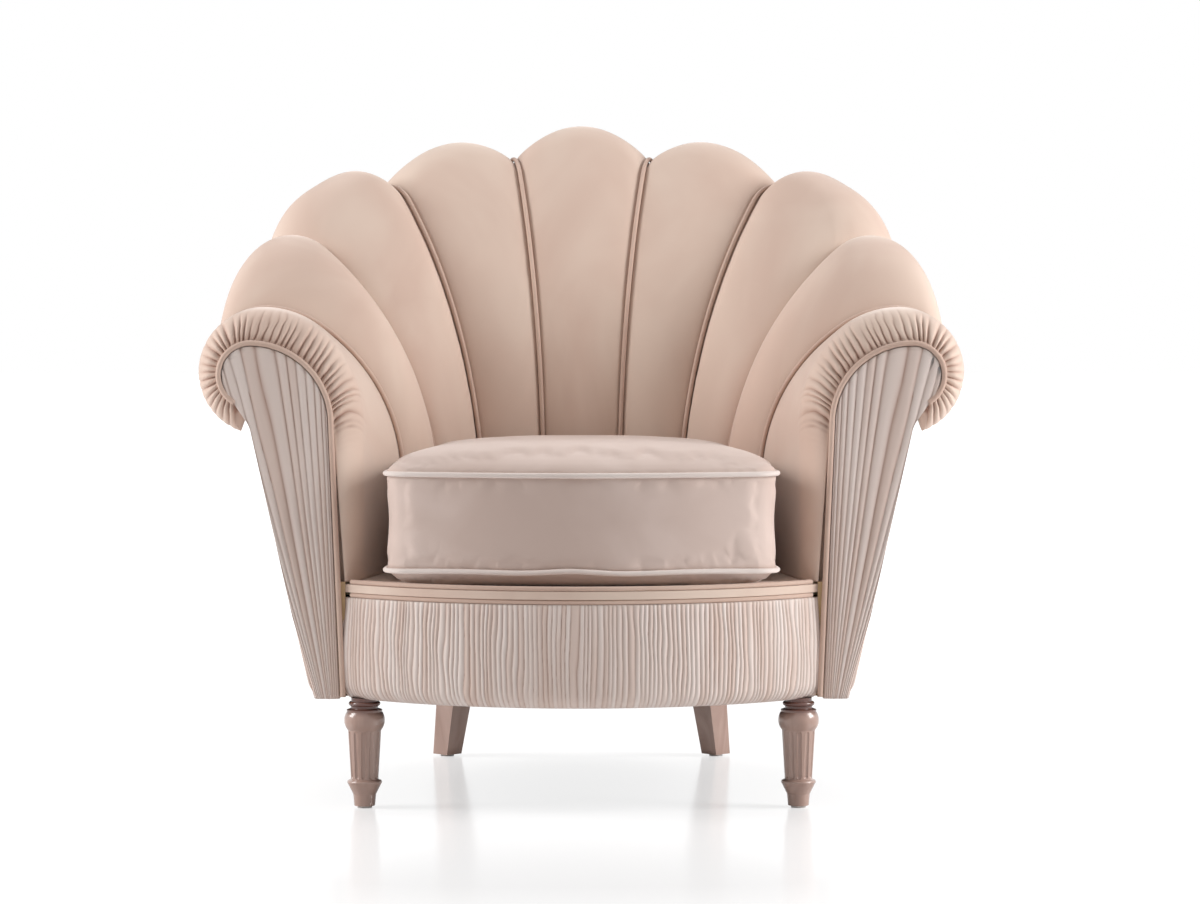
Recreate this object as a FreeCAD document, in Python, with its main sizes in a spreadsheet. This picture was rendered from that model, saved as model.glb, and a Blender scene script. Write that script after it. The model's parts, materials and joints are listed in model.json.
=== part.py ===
import FreeCAD, Part
import Sketcher
import os
from math import asin, atan2, cos, degrees, hypot, pi, radians, sin, sqrt, tan
from types import SimpleNamespace

# A barrel armchair with a scalloped, channelled back. The origin is on the floor under the middle
# of the chair, +Z is up, -Y is the front and +X is the sitter's left, the right of a front view.
Vector = FreeCAD.Vector
os.makedirs("parts", exist_ok=True)
doc = FreeCAD.newDocument("scallop_back_chair")
sheet = doc.addObject("Spreadsheet::Sheet", "Sizes")

# The shell is drawn in upright planes, one at each sewn seam. A plane stands at a plan point on the
# seat side of the padding and faces outwards by its turn from +Y. Its section is a hook: a plumb
# line, a long arc leaning out, a shoulder arc to the top, and a roll that curls down behind.
SEAMS = {
    "arm": dict(x=256, y=-17, turn=94, top=671, reach=191, shoulder=134, lean=57, roll=78, base=121,
                piping=7.6, slack=15),
    "wing": dict(x=206, y=75, turn=68.5, top=764, reach=213, shoulder=60, lean=49, roll=66, base=139,
                 piping=6.2, slack=12),
    "back": dict(x=143, y=136, turn=39.5, top=852, reach=226, shoulder=60, lean=41.5, roll=64, base=150,
                 piping=5.6, slack=9.5),
    "centre": dict(x=56, y=151, turn=12.5, top=895, reach=216, shoulder=60, lean=39, roll=62, base=168,
                   piping=4.9, slack=8.5),
    "front": dict(x=303, y=-297, turn=90, top=674, reach=122, shoulder=122, lean=45, roll=88, base=70,
                  piping=0, slack=0.3),
}
# The middle of each channel: its top, and how far its crest bows out beyond the line of its seams.
MIDDLES = {
    "side": dict(crest=768, bow=0),
    "wing": dict(crest=861, bow=14),
    "back": dict(crest=922, bow=14),
    "centre": dict(crest=948, bow=14),
}

SIZES = [
    ("pad_thickness", 43, "padding of the channels"),
    ("arm_pad_thickness", 56, "padding of the rolled arms"),
    ("channel_bulge", 15, "how far a channel stands in front of its seams at seat height"),
    ("plan_round", 330, "radius that the base outline follows between two seams"),
    ("curl", 160, "angle that the roll turns from its top to its underside"),
    ("seam_gap", 0.6, "half of the sewn gap between two channels"),
    ("fit_gap", 0.3, "clearance between neighbouring pieces"),
    ("piping_radius", 3.2, "radius of the covered cord"),
    ("base_height", 150, "underside of the rails"),
    ("rail_height", 134, "height of the seat rails"),
    ("rail_width", 40, "thickness of the seat rails"),
    ("cover_thickness", 12, "backed and padded outside cover"),
    ("cover_inset", 14, "depth of the outside cover's top edge below the roll's surface"),
    ("rib_thickness", 15, "plywood of the ribs and arm fronts"),
    ("cover_slack", 3, "rails and ribs inside the outside cover"),
    ("tuck_slack", 2.2, "outside cover's top edge from the end of the roll"),
    ("crest_depth", 30, "depth of the crest rail below its shoulder"),
    ("web_thickness", 1.2, "thickness of a webbing strap"),
    ("web_width", 50, "width of a webbing strap"),
    ("web_pitch", 74, "distance from strap to strap"),
    ("web_bearing", 20, "length of strap on a rail"),
    ("web_clearance", 2, "notch of a rib beyond the end of a strap"),
    ("deck_thickness", 17.5, "foam pad of the deck"),
    ("deck_cover_thickness", 1.3, "deck cloth"),
    ("front_half_width", 318, "half width of the front border between the arm fronts"),
    ("front_bow", 140, "how far the front bows forward"),
    ("border_top", 285, "top of the pleated front border"),
    ("band_height", 10.6, "flat band between the two front welts"),
    ("panel_thickness", 11.5, "padded panel on the arm front"),
    ("panel_edge", 3, "edge of the padded panel, taken off all round"),
    ("panel_axis", 445, "middle of the scroll head, from the centre plane"),
    ("panel_top", 623.5, "top of the scroll head"),
    ("panel_sweep", 104.5, "radius of the scroll's long inner arc"),
    ("panel_head", 39, "radius of the scroll's head"),
    ("panel_foot", 325, "inner edge of the panel at the floor end"),
    ("panel_margin", 6, "gathered ring's inner edge outside the panel"),
    ("panel_heel", 22, "rounding of the panel's lower outer corner"),
    ("arm_middle_bow", 5, "base of the arm outside the line from its front to its seam"),
    ("arm_middle_rise", 3, "top of the arm above the line from its front to its seam"),
    ("arm_ring_curl", 150, "angle that the gathered ring turns over the scroll's head"),
    ("arm_nose", 50, "depth over which the front of the arm rounds off"),
    ("cushion_bottom_seam", 325, "height of the cushion's lower piping"),
    ("cushion_top_seam", 454, "height of the cushion's upper piping"),
    ("cushion_crown", 33, "rise of the crown above the upper piping"),
    ("cushion_draw", 5, "how far the boxing is drawn in at half height"),
    ("cushion_cover_thickness", 2.5, "cushion cover with its wadding"),
    ("cushion_front", -443, "tip of the front edge's outline"),
    ("cushion_front_round", 560, "radius of the front edge"),
    ("cushion_corner_x", 262, "front corner, from the centre plane"),
    ("cushion_corner_y", -359, "front corner"),
    ("cushion_corner_round", 42, "radius of the front corner"),
    ("cushion_side_x", 242, "where the side turns in, from the centre plane"),
    ("cushion_side_y", -45, "where the side turns in"),
    ("cushion_side_round", 120, "radius where the side turns in"),
    ("cushion_rear_x", 148, "rear corner, from the centre plane"),
    ("cushion_rear", 111, "rear face of the cushion"),
    ("cushion_rear_round", 90, "radius of the rear corner"),
    ("zip_length", 170, "coil zip in the rear boxing"),
    ("zip_width", 24, "tape of the zip"),
    ("zip_tape", 1.2, "thickness of the zip's tape"),
    ("zip_coil", 1.5, "height of the zip's coil on the tape"),
    ("zip_coil_width", 5, "width of the zip's coil"),
    ("slider_length", 9, "zip slider along the zip"),
    ("slider_width", 11, "zip slider across the zip"),
    ("slider_height", 3, "zip slider above the coil"),
    ("slider_stop", 12, "slider's middle from the end of the closed zip"),
    ("pull_length", 15, "pull tab below its pin"),
    ("pull_width", 4, "pull tab"),
    ("pull_thickness", 1.4, "pull tab"),
    ("pull_pin", 0.8, "radius of the pull tab's pin"),
    ("leg_gap", 1, "dust cover and its slack between leg and rail"),
    ("dust_cover_thickness", 0.5, "cloth under the seat"),
    ("dust_cover_inset", 6, "edge of the dust cover inside the outline"),
    ("block_height", 60, "corner blocks"),
    ("block_length", 85, "corner block along the side rail"),
    ("block_width", 30, "rear corner block"),
    ("block_gap", 2, "rear corner block's ends from the bent rail"),
    ("block_front_x", 262, "front corner block's end on the front rail"),
    ("front_leg_x", 293, "front leg, from the centre plane"),
    ("front_leg_y", -291, "front leg"),
    ("leg_neck", 18, "radius of the neck"),
    ("leg_collar", 21.5, "radius of the collar under the neck"),
    ("leg_collar_height", 141, "middle of the collar"),
    ("leg_bulb_height", 118, "widest place of the bulb"),
    ("leg_ring_height", 35, "middle of the foot ring"),
    ("leg_ankle", 15.5, "radius under the foot ring's taper"),
    ("leg_ankle_height", 18.5, "end of the foot ring's taper"),
    ("leg_bulb", 27.5, "radius of the bulb"),
    ("leg_shaft_top", 22.5, "radius of the fluted shaft under the bulb"),
    ("leg_shaft_foot", 18.5, "radius of the fluted shaft above the foot ring"),
    ("leg_ring", 22.7, "radius of the foot ring"),
    ("leg_foot", 14, "radius of the foot"),
    ("flute_count", 12, "flutes round a front leg"),
    ("flute_radius", 4, "radius of the cutter that makes a flute"),
    ("flute_depth", 2, "depth of a flute"),
    ("rear_leg_x", 183, "top of the rear leg, from the centre plane"),
    ("rear_leg_y", 255, "top of the rear leg"),
    ("rear_foot_x", 202, "foot of the rear leg, from the centre plane"),
    ("rear_foot_y", 301, "foot of the rear leg"),
    ("rear_leg_top", 42, "side of the rear leg at its top"),
    ("rear_leg_foot", 30, "side of the rear leg at its foot"),
    ("glide_radius", 10, "radius of a nylon glide"),
    ("glide_height", 3, "thickness of a nylon glide"),
    ("glide_pin", 1.2, "radius of a glide's pin"),
    ("glide_pin_length", 12, "length of a glide's pin"),
    ("bolt_radius", 4, "radius of a hanger bolt"),
    ("bolt_in_rail", 45, "length of a hanger bolt in the rail"),
    ("bolt_in_leg", 30, "length of a hanger bolt in the leg"),
]
for seam, values in SEAMS.items():
    SIZES += [(f"{seam}_{key}", value, f"{seam} seam, {key}") for key, value in values.items()]
for channel_name, values in MIDDLES.items():
    SIZES += [(f"{channel_name}_{key}", value, f"middle of the {channel_name} channel, {key}")
              for key, value in values.items()]

for row, (alias, value, meaning) in enumerate(SIZES, start=1):
    sheet.set(f"A{row}", meaning)
    sheet.set(f"B{row}", str(value))
    sheet.setAlias(f"B{row}", alias)
doc.recompute()


def size(alias):
    return float(getattr(sheet, alias))


GAP = size("fit_gap")
BASE = size("base_height")
RAIL_TOP = BASE + size("rail_height")
DECK_BOTTOM = RAIL_TOP + 2 * size("web_thickness") + 2 * GAP
DECK_TOP = DECK_BOTTOM + size("deck_thickness")
SEAT_TOP = DECK_TOP + size("deck_cover_thickness")
PAD_BOTTOM = SEAT_TOP + GAP
LEG_TOP = BASE - size("leg_gap")
CORD = size("piping_radius")


# Plan and section geometry. A contour is a list of pieces, each two points for a line or three for
# an arc, and every arc turns less than a half circle.
def polar(centre, radius, angle):
    """The point at a radius and an angle in degrees from a centre."""
    return (centre[0] + radius * cos(radians(angle)), centre[1] + radius * sin(radians(angle)))


def arc(centre, radius, start, end):
    return tuple(polar(centre, radius, angle) for angle in (start, (start + end) / 2, end))


def reverse(pieces):
    return [piece[::-1] for piece in pieces[::-1]]


def close(pieces):
    """Join each piece to the next with a line where their ends differ, and the last to the first."""
    closed = []
    for piece, following in zip(pieces, pieces[1:] + pieces[:1]):
        closed.append(piece)
        if hypot(piece[-1][0] - following[0][0], piece[-1][1] - following[0][1]) > 1e-6:
            closed.append((piece[-1], following[0]))
    return closed


def rounded(corners):
    """A closed outline through corners (x, y, radius), each rounded by an arc tangent to its sides."""
    arcs = []
    for before, corner, after in zip(corners[-1:] + corners[:-1], corners, corners[1:] + corners[:1]):
        back = Vector(before[0] - corner[0], before[1] - corner[1], 0).normalize()
        ahead = Vector(after[0] - corner[0], after[1] - corner[1], 0).normalize()
        half = back.getAngle(ahead) / 2
        tip = Vector(corner[0], corner[1], 0)
        run = corner[2] / tan(half)
        middle = tip + (back + ahead).normalize() * (corner[2] / sin(half) - corner[2])
        arcs.append(tuple((p.x, p.y) for p in (tip + back * run, middle, tip + ahead * run)))
    return close(arcs)


def station(seam):
    values = {key: size(f"{seam}_{key}") for key in SEAMS[seam]}
    pad = size("arm_pad_thickness") if seam == "front" else size("pad_thickness")
    return SimpleNamespace(toe=0.0, curl=size("curl"), pad=pad, **values)


def mirrored(plane):
    return SimpleNamespace(**dict(vars(plane), x=-plane.x, turn=-plane.turn))


def mixed(first, second, share):
    """The plane whose every value lies between two planes by a share from 0 to 1."""
    values = vars(second)
    return SimpleNamespace(**{k: v + (values[k] - v) * share for k, v in vars(first).items()})


def facing(plane):
    return Vector(sin(radians(plane.turn)), cos(radians(plane.turn)), 0)


def place(plane, reach, height, beside=0.0):
    """The point of the chair at a reach and a height in a plane, or beside that plane."""
    out = facing(plane)
    along = Vector(out.y, -out.x, 0)
    return Vector(plane.x, plane.y, height) + out * reach + along * beside


def between(first, second, name):
    """The plane through the middle of a channel. It stands in front of the seams by the bulge, and
    its top and base stand outside the lines that join theirs."""
    plane = mixed(first, second, 0.5)
    out = facing(plane)
    foot = Vector(plane.x, plane.y, 0) - out * size("channel_bulge")
    top = (place(first, first.reach, 0) + place(second, second.reach, 0)) / 2
    ends = [place(p, p.base, 0) for p in (first, second)]
    chord = (ends[1] - ends[0]).Length
    base = (ends[0] + ends[1]) / 2 + out * (chord * chord / 8 / size("plan_round"))
    plane.x, plane.y, plane.top = foot.x, foot.y, size(f"{name}_crest")
    plane.reach = (top - foot).dot(out) + size(f"{name}_bow")
    plane.base = (base - foot).dot(out)
    return plane


def hook(plane, inset, bottom):
    """The hook of a plane, moved in from its face by the inset: line, lean, shoulder and roll."""
    turned = radians(plane.lean)
    long_radius = (plane.reach - plane.shoulder * cos(turned)) / (1 - cos(turned))
    plumb = plane.top - plane.shoulder * (1 - sin(turned)) - long_radius * sin(turned)
    roll_axis = (plane.reach, plane.top - plane.roll)
    return [
        ((inset - plane.toe, bottom), (inset, plumb)),
        arc((long_radius, plumb), long_radius - inset, 180, 180 - plane.lean),
        arc((plane.reach, plane.top - plane.shoulder), plane.shoulder - inset, 180 - plane.lean, 90),
        arc(roll_axis, plane.roll - inset, 90, 90 - plane.curl),
    ]


def cover_line(plane, inset):
    """Top and bottom of a line in the outside cover, at an inset from its outer face."""
    roll_axis = (plane.reach, plane.top - plane.roll)
    end = polar(roll_axis, plane.roll - size("cover_inset") - inset, 90 - plane.curl)
    top = polar(end, size("tuck_slack"), -plane.curl)
    return top, (plane.base - inset, BASE)


def at_height(line, height):
    (top_reach, top), (low_reach, low) = line
    return low_reach + (top_reach - low_reach) * (height - low) / (top - low)


FRONT = station("front")
ARM = station("arm")
WING = station("wing")
BACK = station("back")
CENTRE = station("centre")
ARM_MIDDLE = mixed(FRONT, ARM, 0.5)
ARM_MIDDLE.base += size("arm_middle_bow")
ARM_MIDDLE.top += size("arm_middle_rise")
SIDE_MIDDLE = between(ARM, WING, "side")
WING_MIDDLE = between(WING, BACK, "wing")
BACK_MIDDLE = between(BACK, CENTRE, "back")
CENTRE_MIDDLE = between(CENTRE, mirrored(CENTRE), "centre")


# Makers of document objects.
def edges(pieces, to_space):
    made = []
    for piece in pieces:
        points = [to_space(point) for point in piece]
        made.append(Part.makeLine(*points) if len(points) == 2 else Part.Arc(*points).toShape())
    return made


def section(pieces, plane, beside=0.0):
    return Part.Wire(edges(pieces, lambda p: place(plane, p[0], p[1], beside)))


def level(pieces, height):
    return Part.Wire(edges(pieces, lambda p: Vector(p[0], p[1], height)))


NODES = []


def feature(label, shape):
    made = doc.addObject("Part::Feature", label)
    made.Label = label
    made.Shape = shape
    made.Placement = FreeCAD.Placement()
    NODES.append(made)
    return made


def new_body(label, placement=None):
    body = doc.addObject("PartDesign::Body", label)
    body.Label = label
    if placement is not None:
        body.Placement = placement
    NODES.append(body)
    return body


def gather(label, members):
    """Repeated pieces that share a node, as separate solids."""
    made = doc.addObject("Part::Compound", label)
    made.Label = label
    made.Links = members
    for member in members:
        NODES.remove(member)
    NODES.append(made)
    return made


def add_sketch(body, role, pieces, lift=0.0):
    """A sketch on a plane of the body's own origin, with its pieces and any circles."""
    plane = [f for f in body.Origin.OriginFeatures if f.Role == role][0]
    sketch = body.newObject("Sketcher::SketchObject", f"{body.Label}_sketch")
    sketch.AttachmentSupport = [(plane, "")]
    sketch.MapMode = "FlatFace"
    sketch.AttachmentOffset = FreeCAD.Placement(Vector(0, 0, lift), FreeCAD.Rotation())
    for piece in pieces:
        points = [Vector(p[0], p[1], 0) for p in piece[:3] if isinstance(p, tuple)]
        if len(points) == 1:
            sketch.addGeometry(Part.Circle(points[0], Vector(0, 0, 1), piece[1]))
        elif len(points) == 2:
            sketch.addGeometry(Part.LineSegment(*points))
        else:
            sketch.addGeometry(Part.Arc(*points))
    return sketch


def pad(body, role, pieces, length, lift=0.0, midplane=False):
    """Pad a sketch by a length given as an expression of the sheet's names."""
    made = body.newObject("PartDesign::Pad", f"{body.Label}_pad")
    made.Profile = add_sketch(body, role, pieces, lift)
    made.setExpression("Length", length)
    made.Midplane = midplane
    return made


def pocket(body, pieces, length, lift, up):
    """Cut circles out of a body, from a level up or down, and check that material went away."""
    doc.recompute()
    before = body.Shape.Volume
    made = body.newObject("PartDesign::Pocket", f"{body.Label}_pocket")
    made.Profile = add_sketch(body, "XY_Plane", pieces, lift)
    made.setExpression("Length", length)
    made.Reversed = up
    doc.recompute()
    if body.Shape.Volume > before - 1:
        raise RuntimeError(f"{body.Label}: the pocket cuts nothing")
    return made


def cord(label, path, plane_placement):
    """A round cord along a path in an upright plane. The path starts plumb at its lowest point."""
    body = new_body(label, plane_placement)
    spine = add_sketch(body, "XZ_Plane", path)
    start = path[0][0]
    ring = add_sketch(body, "XY_Plane", [((start[0], 0.0), CORD)], start[1])
    ring.addConstraint(Sketcher.Constraint("Radius", 0, CORD))
    ring.setExpression("Constraints[0]", "Sizes.piping_radius")
    pipe = body.newObject("PartDesign::AdditivePipe", f"{label}_pipe")
    pipe.Profile = ring
    pipe.Spine = (spine, [f"Edge{i + 1}" for i in range(len(path))])
    return body


def upright(plane, beside=0.0):
    """Placement that lays a body's XZ plane in an upright plane of the shell."""
    return FreeCAD.Placement(place(plane, 0, 0, beside), FreeCAD.Rotation(Vector(0, 0, 1), 90 - plane.turn))


def pair(name, make):
    """Make a piece for the sitter's left side and its mirror image for the other side."""
    make(f"{name}_left", 1)
    make(f"{name}_right", -1)


# Channels of the back and arms
def on_side(plane, side):
    return plane if side > 0 else mirrored(plane)


def channel_section(plane, beside=0.0):
    pieces = hook(plane, 0, PAD_BOTTOM) + reverse(hook(plane, plane.pad, PAD_BOTTOM))
    return section(close(pieces), plane, beside)


def channel(label, planes, side):
    """A padded channel sewn between two seams: a loft through both seams and its full middle."""
    first, middle, second = [on_side(plane, side) for plane in planes]
    gap = size("seam_gap") * side
    wires = [channel_section(first, -gap), channel_section(middle), channel_section(second, gap)]
    feature(label, Part.makeLoft(wires, True, False))


def arm_channel(label, side):
    """The rolled arm, whose front rounds off to the gathered ring round the arm panel."""
    sweep = size("panel_sweep") + size("panel_margin")
    ring = SimpleNamespace(**vars(FRONT))
    ring.x = size("panel_axis") - sweep
    ring.toe = ring.x - size("panel_foot") + size("panel_margin")
    ring.top = size("panel_top") + size("panel_margin")
    ring.reach = ring.shoulder = sweep
    ring.roll = size("panel_head") + size("panel_margin")
    ring.curl = size("arm_ring_curl")
    length = ARM.y - FRONT.y
    nose = size("arm_nose")
    fronts = []
    for share in (0, 0.134, 0.4, 0.7, 1):
        depth = nose * (1 - sqrt(1 - (1 - share) ** 2))
        full = mixed(FRONT, ARM, depth / length)
        full.turn = FRONT.turn
        full.y = FRONT.y + depth
        outer = mixed(full, ring, share)
        outer.y = full.y
        shift = outer.x - full.x
        lining = [tuple((p[0] - shift, p[1]) for p in piece) for piece in hook(full, full.pad, PAD_BOTTOM)]
        pieces = close(hook(outer, 0, PAD_BOTTOM) + reverse(lining))
        fronts.append(section(pieces, on_side(outer, side)))
    wires = [channel_section(on_side(ARM, side), size("seam_gap") * side),
             channel_section(on_side(ARM_MIDDLE, side)), fronts[0]]
    rolled = Part.makeLoft(wires, True, False)
    feature(label, rolled.fuse(Part.makeLoft(fronts, True, True)))


pair("arm_channel", arm_channel)
for label, planes in (("side_channel", (ARM, SIDE_MIDDLE, WING)),
                      ("wing_channel", (WING, WING_MIDDLE, BACK)),
                      ("back_channel", (BACK, BACK_MIDDLE, CENTRE))):
    pair(label, lambda name, side, between_seams=planes: channel(name, between_seams, side))
channel("centre_channel", (CENTRE, CENTRE_MIDDLE, mirrored(CENTRE)), 1)


# Piping sewn into the seams
def seam_piping(label, seam, side):
    path = hook(seam, -seam.piping, PAD_BOTTOM + GAP)
    cord(label, path, upright(on_side(seam, side)))


for name, seam in (("arm", ARM), ("wing", WING), ("back", BACK), ("centre", CENTRE)):
    pair(f"{name}_seam_piping", lambda label, side, plane=seam: seam_piping(label, plane, side))


# Front of the arm: a padded panel with a piped edge, set on the plywood arm front
def panel_outline(grown=0.0):
    """Inner edge, long arc and head of the scroll, down to the neck under the roll."""
    axis = size("panel_axis")
    sweep_axis = (axis, size("panel_top") - size("panel_sweep"))
    head_axis = (axis, size("panel_top") - size("panel_head"))
    neck, heel = cover_line(FRONT, 0)
    neck = (neck[0] + FRONT.x, neck[1])
    edge = size("panel_foot") - grown
    sweep = arc(sweep_axis, size("panel_sweep") + grown, 180, 90)
    head = arc(head_axis, size("panel_head") + grown, 90, -60)
    return [((edge, BASE), sweep[0]), sweep, head], neck, (heel[0] + FRONT.x, heel[1])


def arm_panel(label, side):
    scroll, neck, heel = panel_outline()
    slope = Vector(neck[0] - heel[0], neck[1] - heel[1], 0).normalize()
    heel_round = size("panel_heel")
    run = heel_round * tan((pi / 2 + atan2(slope.x, slope.y)) / 2)
    on_edge = (heel[0] + slope.x * run, heel[1] + slope.y * run)
    axis = (heel[0] - run, BASE + heel_round)
    turned = degrees(atan2(on_edge[1] - axis[1], on_edge[0] - axis[0]))
    heel_arc = arc(axis, heel_round, turned, -90)
    outline = close(scroll + [(neck, heel_arc[0]), heel_arc])
    if side < 0:
        outline = [tuple((-p[0], p[1]) for p in piece) for piece in outline]
    body = new_body(label, FreeCAD.Placement(Vector(0, FRONT.y - GAP, 0), FreeCAD.Rotation()))
    panel = pad(body, "XZ_Plane", outline, "Sizes.panel_thickness")
    panel.Reversed = False
    doc.recompute()
    depths = [face.CenterOfMass.y for face in body.Shape.Faces]
    rounding = body.newObject("PartDesign::Chamfer", f"{label}_rounding")
    rounding.Base = (panel, [f"Face{depths.index(min(depths)) + 1}"])
    rounding.setExpression("Size", "Sizes.panel_edge")
    doc.recompute()


def panel_piping(label, side):
    scroll, neck, heel = panel_outline(CORD + GAP)
    foot = ((scroll[0][0][0], BASE + GAP), scroll[0][1])
    path = [foot] + scroll[1:]
    if side < 0:
        path = [tuple((-p[0], p[1]) for p in piece) for piece in path]
    cord(label, path, FreeCAD.Placement(Vector(0, FRONT.y - CORD - GAP, 0), FreeCAD.Rotation()))


pair("arm_panel", arm_panel)
pair("arm_panel_piping", panel_piping)


# Wooden frame behind the padding
def rib_outline(plane):
    """Back of the padding, round the crest and down inside the outside cover, with a notch over
    the webbing at its foot."""
    curve = hook(plane, plane.pad + plane.slack, SEAT_TOP + GAP)
    outer = cover_line(plane, size("cover_thickness") + size("cover_slack"))
    heel = (at_height(outer, RAIL_TOP), RAIL_TOP)
    notch = plane.base - size("cover_thickness") - size("rail_width") + size("web_bearing")
    notch += size("web_clearance")
    return close(curve + [(curve[-1][-1], heel), (heel, (notch, RAIL_TOP)),
                          ((notch, RAIL_TOP), (notch, SEAT_TOP + GAP))])


def rib(label, plane, side):
    body = new_body(label, upright(on_side(plane, side)))
    pad(body, "XZ_Plane", rib_outline(plane), "Sizes.rib_thickness", midplane=True)
    return body


for name, seam in (("arm", ARM), ("wing", WING), ("back", BACK), ("centre", CENTRE)):
    gather(f"{name}_ribs", [rib(f"{name}_rib_{side}", seam, side) for side in (1, -1)])


def arm_facing(label, side):
    """Plywood front of the arm, from the base rail up into the roll, closing the front corner."""
    curve = hook(FRONT, FRONT.pad + GAP, PAD_BOTTOM - GAP)
    outer = cover_line(FRONT, size("cover_thickness") + size("cover_slack"))
    foot = (size("front_half_width") + GAP - FRONT.x, BASE)
    heel = (at_height(outer, BASE), BASE)
    step = (foot[0], curve[0][0][1])
    outline = close([(step, curve[0][0])] + curve + [(curve[-1][-1], heel), (heel, foot)])
    front = SimpleNamespace(**dict(vars(FRONT), y=FRONT.y + GAP + size("rib_thickness") / 2))
    body = new_body(label, upright(on_side(front, side)))
    pad(body, "XZ_Plane", outline, "Sizes.rib_thickness", midplane=True)


pair("arm_facing", arm_facing)


def crest_section(plane, beside=0.0):
    """Timber under the padding of the roll, rounded as the padding's back is."""
    curve = hook(plane, plane.pad + plane.slack, DECK_BOTTOM)[2:]
    start = curve[0][0]
    low = (start[0], start[1] - size("crest_depth"))
    return section(close([(low, start)] + curve + [(curve[-1][-1], low)]), plane, beside)


def crest_segment(label, planes, side):
    first, middle, second = [on_side(plane, side) for plane in planes]
    face = size("rib_thickness") / 2 * side
    wires = [crest_section(first, -face), crest_section(middle), crest_section(second, face)]
    return feature(label, Part.makeLoft(wires, True, False))


crest = [crest_segment("crest_centre", (CENTRE, CENTRE_MIDDLE, mirrored(CENTRE)), 1)]
for name, planes in (("side", (ARM, SIDE_MIDDLE, WING)), ("wing", (WING, WING_MIDDLE, BACK)),
                     ("back", (BACK, BACK_MIDDLE, CENTRE))):
    crest += [crest_segment(f"crest_{name}_{side}", planes, side) for side in (1, -1)]
gather("crest_rail", crest)


def arm_rail(label, side):
    """Timber of the rolled arm, from the plywood front to the first rib."""
    behind = (size("rib_thickness") + 2 * GAP) / (ARM.y - FRONT.y)
    front = mixed(FRONT, ARM, behind)
    front.turn = FRONT.turn
    front = on_side(front, side)
    rear = on_side(ARM, side)
    wires = [crest_section(front, -GAP * side), crest_section(rear, size("rib_thickness") / 2 * side)]
    feature(label, Part.makeLoft(wires, True, True))


pair("arm_rail", arm_rail)


# Plan outlines of the base
FRONT_RADIUS = (size("front_half_width") ** 2 + size("front_bow") ** 2) / 2 / size("front_bow")
FRONT_AXIS = (0.0, FRONT.y - size("front_bow") + FRONT_RADIUS)
RIGHT_PLANES = [(FRONT, ARM_MIDDLE, ARM), (ARM, SIDE_MIDDLE, WING), (WING, WING_MIDDLE, BACK),
                (BACK, BACK_MIDDLE, CENTRE)]
ALL_PLANES = RIGHT_PLANES + [(CENTRE, CENTRE_MIDDLE, mirrored(CENTRE))]
ALL_PLANES += [tuple(mirrored(plane) for plane in planes[::-1]) for planes in RIGHT_PLANES[::-1]]


def front_arc(inset, half_width):
    """Part of the bowed front, from the chair's left to its right in a front view."""
    radius = FRONT_RADIUS - inset
    half = degrees(asin(half_width / radius))
    return arc(FRONT_AXIS, radius, -90 - half, -90 + half)


def base_arc(planes, inset):
    points = [place(p, p.base - inset, 0) for p in planes]
    return tuple((p.x, p.y) for p in points)


def front_strip(inset, thickness, half_width):
    outer = front_arc(inset, half_width)
    inner = front_arc(inset + thickness, half_width)
    return close([outer, inner[::-1]])


def rail_outline(runs):
    inset = size("cover_thickness") + size("cover_slack")
    outer = [base_arc(planes, inset) for planes in runs]
    inner = [base_arc(planes, inset + size("rail_width")) for planes in runs]
    return close(outer + reverse(inner))


def level_body(label, outline, height, lift, holes=()):
    """A flat piece padded up from a level."""
    body = new_body(label, FreeCAD.Placement(Vector(0, 0, lift), FreeCAD.Rotation()))
    pad(body, "XY_Plane", outline + list(holes), height)
    return body


LEGS = {"front_leg": (size("front_leg_x"), size("front_leg_y")),
        "rear_leg": (size("rear_leg_x"), size("rear_leg_y"))}


def bolt_holes(names):
    radius = size("bolt_radius") + GAP
    return [((x * side, y), radius) for x, y in (LEGS[name] for name in names) for side in (1, -1)]


# Seat rails
def side_rail(label, side):
    behind = (size("rib_thickness") + 2 * GAP) / (ARM.y - FRONT.y)
    start = mixed(FRONT, ARM, behind)
    runs = [(start, ARM_MIDDLE, ARM), (ARM, SIDE_MIDDLE, WING)]
    if side < 0:
        runs = [tuple(mirrored(plane) for plane in run) for run in runs]
    level_body(label, rail_outline(runs), "Sizes.rail_height", BASE)


front_rail = level_body("front_rail", front_strip(size("cover_thickness") + GAP, size("rail_width"),
                                                  size("front_half_width")), "Sizes.rail_height", BASE)
pocket(front_rail, bolt_holes(["front_leg"]), "Sizes.bolt_in_rail + Sizes.fit_gap", 0, True)
back_rail = level_body("back_rail", rail_outline(ALL_PLANES[2:7]), "Sizes.rail_height", BASE)
pocket(back_rail, bolt_holes(["rear_leg"]), "Sizes.bolt_in_rail + Sizes.fit_gap", 0, True)
pair("side_rail", side_rail)


# Bowed front: pleated border, welts and the flat band
BORDER_TOP = size("border_top")
LOWER_WELT = BORDER_TOP + CORD + GAP
BAND_BOTTOM = LOWER_WELT + CORD + GAP
UPPER_WELT = BAND_BOTTOM + size("band_height") + CORD + GAP
level_body("front_border", front_strip(0, size("cover_thickness"), size("front_half_width")),
           "Sizes.border_top - Sizes.base_height", BASE)
level_body("front_band", front_strip(0, size("cover_thickness"), size("front_half_width")),
           "Sizes.band_height", BAND_BOTTOM)


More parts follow.
